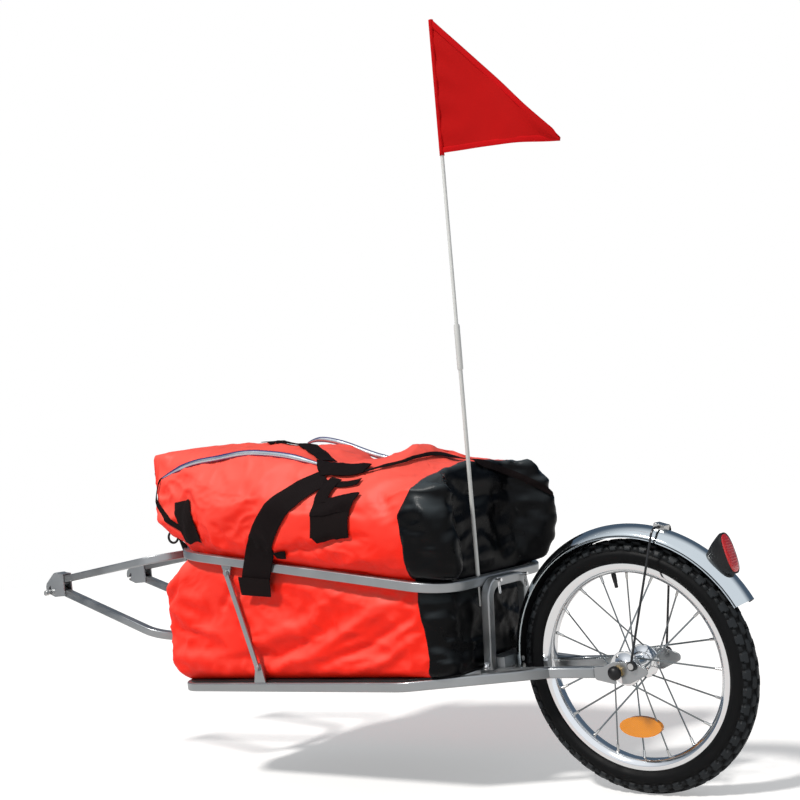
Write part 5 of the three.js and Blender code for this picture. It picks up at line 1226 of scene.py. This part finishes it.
bag_uv.data.foreach_set("uv", pairs[index].astype(np.float32).ravel())
red_nylon = cloth_finish("red_nylon", (1.0, 0.016, 0.003), 0.48, 1400.0, 14.0, 0.6, 0.10, 0.35, 0.22)
# The pale red over the faces turned up is a painted highlight; where the mask is low the red stays deep, as
# painted shade.
masked(red_nylon, "painted_sky_light", (1.0, 0.112, 0.080), 0.5)
bag = place_piece("bag_made", bag_mesh, "frame", red_nylon, ["bag"])

# The rear end of the bag is a black panel sewn over the red cloth. It is the same
# skin, cut along the seam line, lifted by a thread and given a thickness.
black_nylon = cloth_finish("black_nylon", (0.0008, 0.0010, 0.0016), 0.20, 1400.0, 18.0, 0.55, 0.10, 0.35,
                           0.12)
# A painted sheen: the black coating is painted lighter grey on faces turned up and forward.
masked(black_nylon, "painted_sheen", (0.050, 0.060, 0.066), 0.34)
panel_mesh = bag_mesh.copy()
panel_mesh.name = "bag_end_panel"
with reshaped(panel_mesh) as shape:
    past = shape.verts.layers.float.new("past_seam")
    place = np.array([v.co for v in shape.verts])
    for vertex, value in zip(shape.verts, place[:, 0] - seam_back(place[:, 1], place[:, 2])):
        vertex[past] = value
    for cut_edge in [e for e in shape.edges if e.verts[0][past] * e.verts[1][past] < 0]:
        first, second = cut_edge.verts
        if first[past] * second[past] >= 0:
            continue
        share = first[past] / (first[past] - second[past])
        if 0.12 < share < 0.88:
            _, added = bmesh.utils.edge_split(cut_edge, first, share)
            added[past] = 0.0
        else:
            nearer = first if share < 0.5 else second
            nearer.co = first.co.lerp(second.co, share)
            nearer[past] = 0.0
    for face in list(shape.faces):
        on_line = [v for v in face.verts if v[past] == 0]
        ahead = [v[past] for v in face.verts]
        if len(on_line) == 2 and min(ahead) < 0 < max(ahead):
            bmesh.utils.face_split(face, on_line[0], on_line[1])
    gone = [f for f in shape.faces if sum(v[past] for v in f.verts) < 0]
    bmesh.ops.delete(shape, geom=gone, context="FACES")
    bmesh.ops.delete(shape, geom=[v for v in shape.verts if not v.link_faces], context="VERTS")
panel = place_piece("bag_end_panel", panel_mesh, "frame", black_nylon)
wall = panel.modifiers.new("thickness", "SOLIDIFY")
wall.thickness, wall.offset = 0.0012, 1.0
wall.use_even_offset = False

# Webbing is woven black tape. Each strap is a strip between two edge lines that is
# laid on the bag: every point moves to the nearest place on the skin, and out by
# the tape's own lift. Where a strap bridges the frame its own line holds.
points_across, points_along = 0.003, 0.004
shape = bmesh.new()
shape.from_mesh(bag_mesh)
skin = BVHTree.FromBMesh(shape)
shape.free()


def smooth_line(points, count):
    """Points evenly spaced on a Catmull-Rom curve through the given points."""
    points = np.array(points, float)
    points = np.concatenate([[2 * points[0] - points[1]], points, [2 * points[-1] - points[-2]]])
    rows = []
    for a, b, c, d in zip(points, points[1:], points[2:], points[3:]):
        t = np.linspace(0, 1, 24, endpoint=False)[:, None]
        bend = (2 * a - 5 * b + 4 * c - d) * t ** 2 + (3 * b - a - 3 * c + d) * t ** 3
        rows.append(0.5 * (2 * b + (c - a) * t + bend))
    rows.append(points[-2][None])
    fine = np.concatenate(rows)
    length = np.concatenate([[0], np.cumsum(np.linalg.norm(np.diff(fine, axis=0), axis=1))])
    at = np.linspace(0, length[-1], count)
    return np.stack([np.interp(at, length, fine[:, k]) for k in range(fine.shape[1])], 1)


def laid(points, lift, hug):
    """Points moved to the skin and out by lift, with the skin's normals; hug 0 keeps a point."""
    found = [skin.find_nearest(Vector(point)) for point in points.reshape(-1, 3)]
    places = np.array([place for place, *_ in found]).reshape(points.shape)
    outs = np.array([normal for _, normal, *_ in found]).reshape(points.shape)
    return points + (places + outs * lift - points) * hug, outs


def eased_rows(points, times=14):
    """Each point pulled towards its neighbours along the strap, with the ends held."""
    for _ in range(times):
        points[1:-1] = points[1:-1] * 0.5 + (points[:-2] + points[2:]) * 0.25
    return points


def raised(points, lift):
    """Points that lie under the skin, or nearer than lift to it, moved out along its normal."""
    moved = points.copy()
    for at in np.ndindex(points.shape[:2]):
        place, normal, _, _ = skin.find_nearest(Vector(points[at]))
        short = float(lift[at][0]) - (Vector(points[at]) - place).dot(normal)
        if short > 0:
            moved[at] += short * np.array(normal)
    return moved


def webbing(name, left, right, finish, lift=0.0030, thick=0.0016, hug=None, columns=0):
    """A closed strip between two edge lines: across it the face is a little crowned."""
    columns = columns or max(5, int(np.linalg.norm(np.subtract(left[0], right[0])) / points_across))
    hug = np.ones(len(left)) if hug is None else np.array(hug, float)
    span = np.sum(np.linalg.norm(np.diff(np.array(left, float), axis=0), axis=1))
    count = max(8, int(span / points_along))
    left = smooth_line(np.column_stack([left, hug]), count)
    right = smooth_line(np.column_stack([right, hug]), count)
    share = np.linspace(0, 1, columns)[None, :, None]
    whole = left[:, None] + (right[:, None] - left[:, None]) * share
    points, hold = whole[..., :3], np.clip(whole[..., 3:], 0, 1)
    laid_points, outs = laid(points, lift, hold)
    for _ in range(3):
        laid_points = raised(eased_rows(laid_points, 8), lift * hold)
    along = unit(np.gradient(laid_points, axis=0))
    across = unit(np.gradient(laid_points, axis=1))
    face = unit(np.cross(across, along))
    face = face * np.sign(np.sum(face * outs, -1, keepdims=True) + 1e-9)
    face = unit(eased_rows(face.copy(), 6))
    crown = thick * (1 - 0.35 * np.abs(2 * share - 1) ** 4)
    top = laid_points + face * crown
    mesh = creased(outward(grid_mesh(name, np.concatenate([laid_points, top[:, ::-1]], 1))), 50)
    layer = mesh.uv_layers.new(name="cloth")
    loops = np.zeros(len(mesh.loops), int)
    mesh.loops.foreach_get("vertex_index", loops)
    width = float(np.linalg.norm(left[0, :3] - right[0, :3]))
    run = loops // (2 * columns) / (count - 1) * span
    step = loops % (2 * columns)
    aside = np.minimum(step, 2 * columns - 1 - step) / (columns - 1) * width
    layer.data.foreach_set("uv", np.stack([run, aside], 1).astype(np.float32).ravel())
    place_piece(name, mesh, "frame", finish)


tape = cloth_finish("black_webbing", (0.0062, 0.0034, 0.0036), 0.62, 260.0, 30.0, 0.3, 0.9, 0.12, 0.08)
patch = cloth_finish("black_patch", (0.0095, 0.0060, 0.0060), 0.72, 420.0, 40.0, 0.4, 0.8, 0.2, 0.08)

# The wide strap comes down from the handle wrap, passes outside the loop and ends
# in a stitched patch below it.
webbing("strap_wide",
        [(0.917, -0.146, 0.163), (0.878, -0.150, 0.156), (0.860, -0.154, 0.148), (0.836, -0.163, 0.130),
         (0.813, -0.172, 0.114), (0.783, -0.178, 0.090), (0.756, -0.178, 0.063), (0.733, -0.175, 0.035),
         (0.718, -0.1715, 0.008), (0.708, -0.1705, -0.010), (0.698, -0.166, -0.030)],
        [(0.942, -0.150, 0.128), (0.928, -0.156, 0.127), (0.914, -0.160, 0.126), (0.890, -0.168, 0.113),
         (0.867, -0.175, 0.101), (0.846, -0.180, 0.076), (0.825, -0.180, 0.050), (0.808, -0.176, 0.026),
         (0.790, -0.1715, -0.004), (0.782, -0.1705, -0.020), (0.772, -0.166, -0.038)],
        tape, hug=[1, 1, 1, 1, 1, 1, 0.9, 0.35, 0, 0, 0])
webbing("strap_wide_patch",
        [(0.701, -0.1725, -0.012), (0.697, -0.168, -0.028), (0.693, -0.162, -0.046)],
        [(0.783, -0.1725, -0.022), (0.779, -0.168, -0.038), (0.771, -0.162, -0.054)],
        patch, hug=[0, 0, 0], lift=0.0)

# The carrying handle: a wrap over the joined loops, an open loop of tape behind it,
# and a strap down to its own patch.
webbing("handle_wrap",
        [(0.884, -0.118, 0.175), (0.936, -0.118, 0.168), (0.969, -0.118, 0.164), (1.012, -0.116, 0.153)],
        [(0.918, -0.142, 0.146), (0.959, -0.140, 0.141), (0.983, -0.139, 0.139), (1.010, -0.136, 0.136)],
        tape, lift=0.004, thick=0.003)
webbing("handle_loop",
        [(0.925, -0.144, 0.140), (0.951, -0.150, 0.133), (0.979, -0.152, 0.131), (1.014, -0.144, 0.131)],
        [(0.930, -0.150, 0.126), (0.953, -0.156, 0.122), (0.981, -0.156, 0.120), (1.009, -0.150, 0.120)],
        tape, lift=0.004, hug=[1, 0.5, 0.5, 1])
webbing("handle_strap",
        [(0.946, -0.146, 0.140), (0.927, -0.157, 0.123), (0.917, -0.162, 0.108), (0.922, -0.168, 0.094)],
        [(0.968, -0.146, 0.134), (0.957, -0.157, 0.120), (0.950, -0.162, 0.105), (0.952, -0.168, 0.092)],
        tape, lift=0.005)
webbing("handle_flap",
        [(0.923, -0.168, 0.104), (0.920, -0.172, 0.092), (0.921, -0.175, 0.080)],
        [(1.027, -0.168, 0.103), (1.018, -0.172, 0.091), (1.008, -0.175, 0.078)],
        tape, lift=0.0045)
webbing("handle_patch",
        [(0.922, -0.170, 0.092), (0.921, -0.173, 0.076), (0.918, -0.175, 0.060), (0.914, -0.176, 0.044)],
        [(1.012, -0.170, 0.092), (1.009, -0.173, 0.076), (1.005, -0.175, 0.060), (1.001, -0.176, 0.043)],
        patch)
webbing("front_patch",
        [(0.513, -0.150, 0.144), (0.524, -0.151, 0.118), (0.536, -0.152, 0.092), (0.548, -0.153, 0.066)],
        [(0.577, -0.151, 0.142), (0.588, -0.154, 0.116), (0.600, -0.156, 0.090), (0.612, -0.157, 0.065)],
        patch, columns=13)
webbing("front_tape",
        [(0.452, -0.122, 0.192), (0.440, -0.128, 0.178), (0.442, -0.136, 0.158), (0.464, -0.143, 0.138),
         (0.500, -0.150, 0.114), (0.545, -0.154, 0.096)],
        [(0.446, -0.116, 0.186), (0.434, -0.124, 0.170), (0.436, -0.133, 0.152), (0.460, -0.142, 0.127),
         (0.496, -0.149, 0.103), (0.541, -0.153, 0.085)],
        tape, columns=5)

# Tapes over the top: one across from the handle to the far side, one along the zip,
# which goes on over the black end to its far corner.
webbing("top_strap",
        [(0.612, 0.010, 0.236), (0.680, -0.010, 0.228), (0.760, -0.040, 0.214), (0.830, -0.075, 0.196),
         (0.890, -0.110, 0.174)],
        [(0.640, 0.030, 0.234), (0.705, 0.012, 0.226), (0.785, -0.018, 0.210), (0.852, -0.052, 0.192),
         (0.908, -0.088, 0.174)],
        tape)
webbing("zip_band",
        [(1.007, -0.132, 0.143), (1.034, -0.122, 0.145), (1.064, -0.102, 0.149), (1.072, -0.060, 0.158),
         (1.076, -0.023, 0.163), (1.092, 0.008, 0.159), (1.125, 0.012, 0.148), (1.144, 0.040, 0.136),
         (1.150, 0.091, 0.121), (1.180, 0.118, 0.096), (1.206, 0.152, 0.070)],
        [(1.009, -0.136, 0.140), (1.038, -0.127, 0.142), (1.066, -0.105, 0.145), (1.078, -0.069, 0.151),
         (1.081, -0.031, 0.155), (1.100, -0.004, 0.150), (1.136, -0.004, 0.138), (1.150, 0.024, 0.125),
         (1.150, 0.086, 0.109), (1.179, 0.114, 0.084), (1.206, 0.145, 0.058)],
        tape, lift=0.0040)

# Two tubes of clear coated cord stiffen the flap's edges; they shine like steel. Their
# outline, seen edge on, gets a painted blue tint: the coloured fringe round their highlights.
tube_finish = hard_finish("coated_cord", (0.62, 0.68, 0.72), 0.20, 0.75, 0.25, 0.1, 0.02, 3.0,
                          Coat_Weight=0.6)
# A painted blue tint at the outline, by viewing angle, for the coloured fringe round the highlights.
glance = node(tube_finish.node_tree, "ShaderNodeLayerWeight", Blend=0.42).outputs["Facing"]
glance = ramp(tube_finish.node_tree, glance, [(0.30, 0), (0.50, 1)])
overlaid(tube_finish, "Base Color", glance, (0.05, 0.025, 0.34))
cord_end, cord_swell, cord_points = 0.0022, 0.0036, 90


def rings(route, first, second, radius, count):
    """Circles round each point of a route, in the plane of two directions."""
    angle = whole_turn(count)[None, :, None]
    return route[:, None] + radius * (np.cos(angle) * first + np.sin(angle) * second)


for name, line in (
        ("edge_cord_near", [(0.449, -0.122, 0.193), (0.480, -0.124, 0.202), (0.527, -0.125, 0.209),
                            (0.620, -0.125, 0.215), (0.692, -0.125, 0.211), (0.787, -0.125, 0.200),
                            (0.851, -0.125, 0.186), (0.905, -0.125, 0.166)]),
        ("edge_cord_far", [(0.640, 0.120, 0.236), (0.660, 0.120, 0.240), (0.689, 0.120, 0.237),
                           (0.743, 0.120, 0.220), (0.795, 0.120, 0.197), (0.845, 0.120, 0.177),
                           (0.880, 0.120, 0.170)])):
    share = np.linspace(0, 1, cord_points)
    thickness = cord_end + cord_swell * np.clip(np.sin(math.pi * share) * 2.2, 0, 1)
    thickness = thickness[:, None, None]
    route = eased_rows(raised(smooth_line(line, cord_points)[:, None], 0.8 * thickness)[:, 0], 60)
    run = unit(np.gradient(route, axis=0))
    first = unit(np.cross(run, (0, 0, 1)))
    points = rings(route, first[:, None], np.cross(first, run)[:, None], thickness, 14)
    place_piece(name, outward(grid_mesh(name, points)), "frame", tube_finish)

# A D-ring at the front of the near rail hangs on a short tape; a keeper of tape
# shows beside the wide strap.
webbing("strap_keeper", [(0.812, -0.174, 0.034), (0.812, -0.174, 0.024), (0.810, -0.173, 0.014)],
        [(0.838, -0.174, 0.032), (0.837, -0.174, 0.022), (0.834, -0.173, 0.012)], tape)
ring_centre, ring_half, ring_tall, ring_wire = (0.466, -0.125, 0.077), 0.0095, 0.0115, 0.0024
turn = np.linspace(0.03, 2 * math.pi - 0.03, 40)[:, None]
ring_out, ring_side = unit(np.array([0.62, -0.77, 0.0])), unit(np.array([0.77, 0.62, 0.0]))
route = ring_centre + ring_half * np.cos(turn) * ring_side + ring_tall * np.sin(turn) * np.array([0, 0, 1])
points = rings(route, unit(route - route.mean(0))[:, None], ring_out, ring_wire, 10)
place_piece("d_ring", outward(grid_mesh("d_ring", points)), "frame", black_plastic)
webbing("d_ring_tape", [(0.470, -0.118, 0.070), (0.476, -0.126, 0.058), (0.482, -0.132, 0.046)],
        [(0.482, -0.124, 0.070), (0.490, -0.132, 0.058), (0.496, -0.138, 0.046)], tape, lift=0.001)
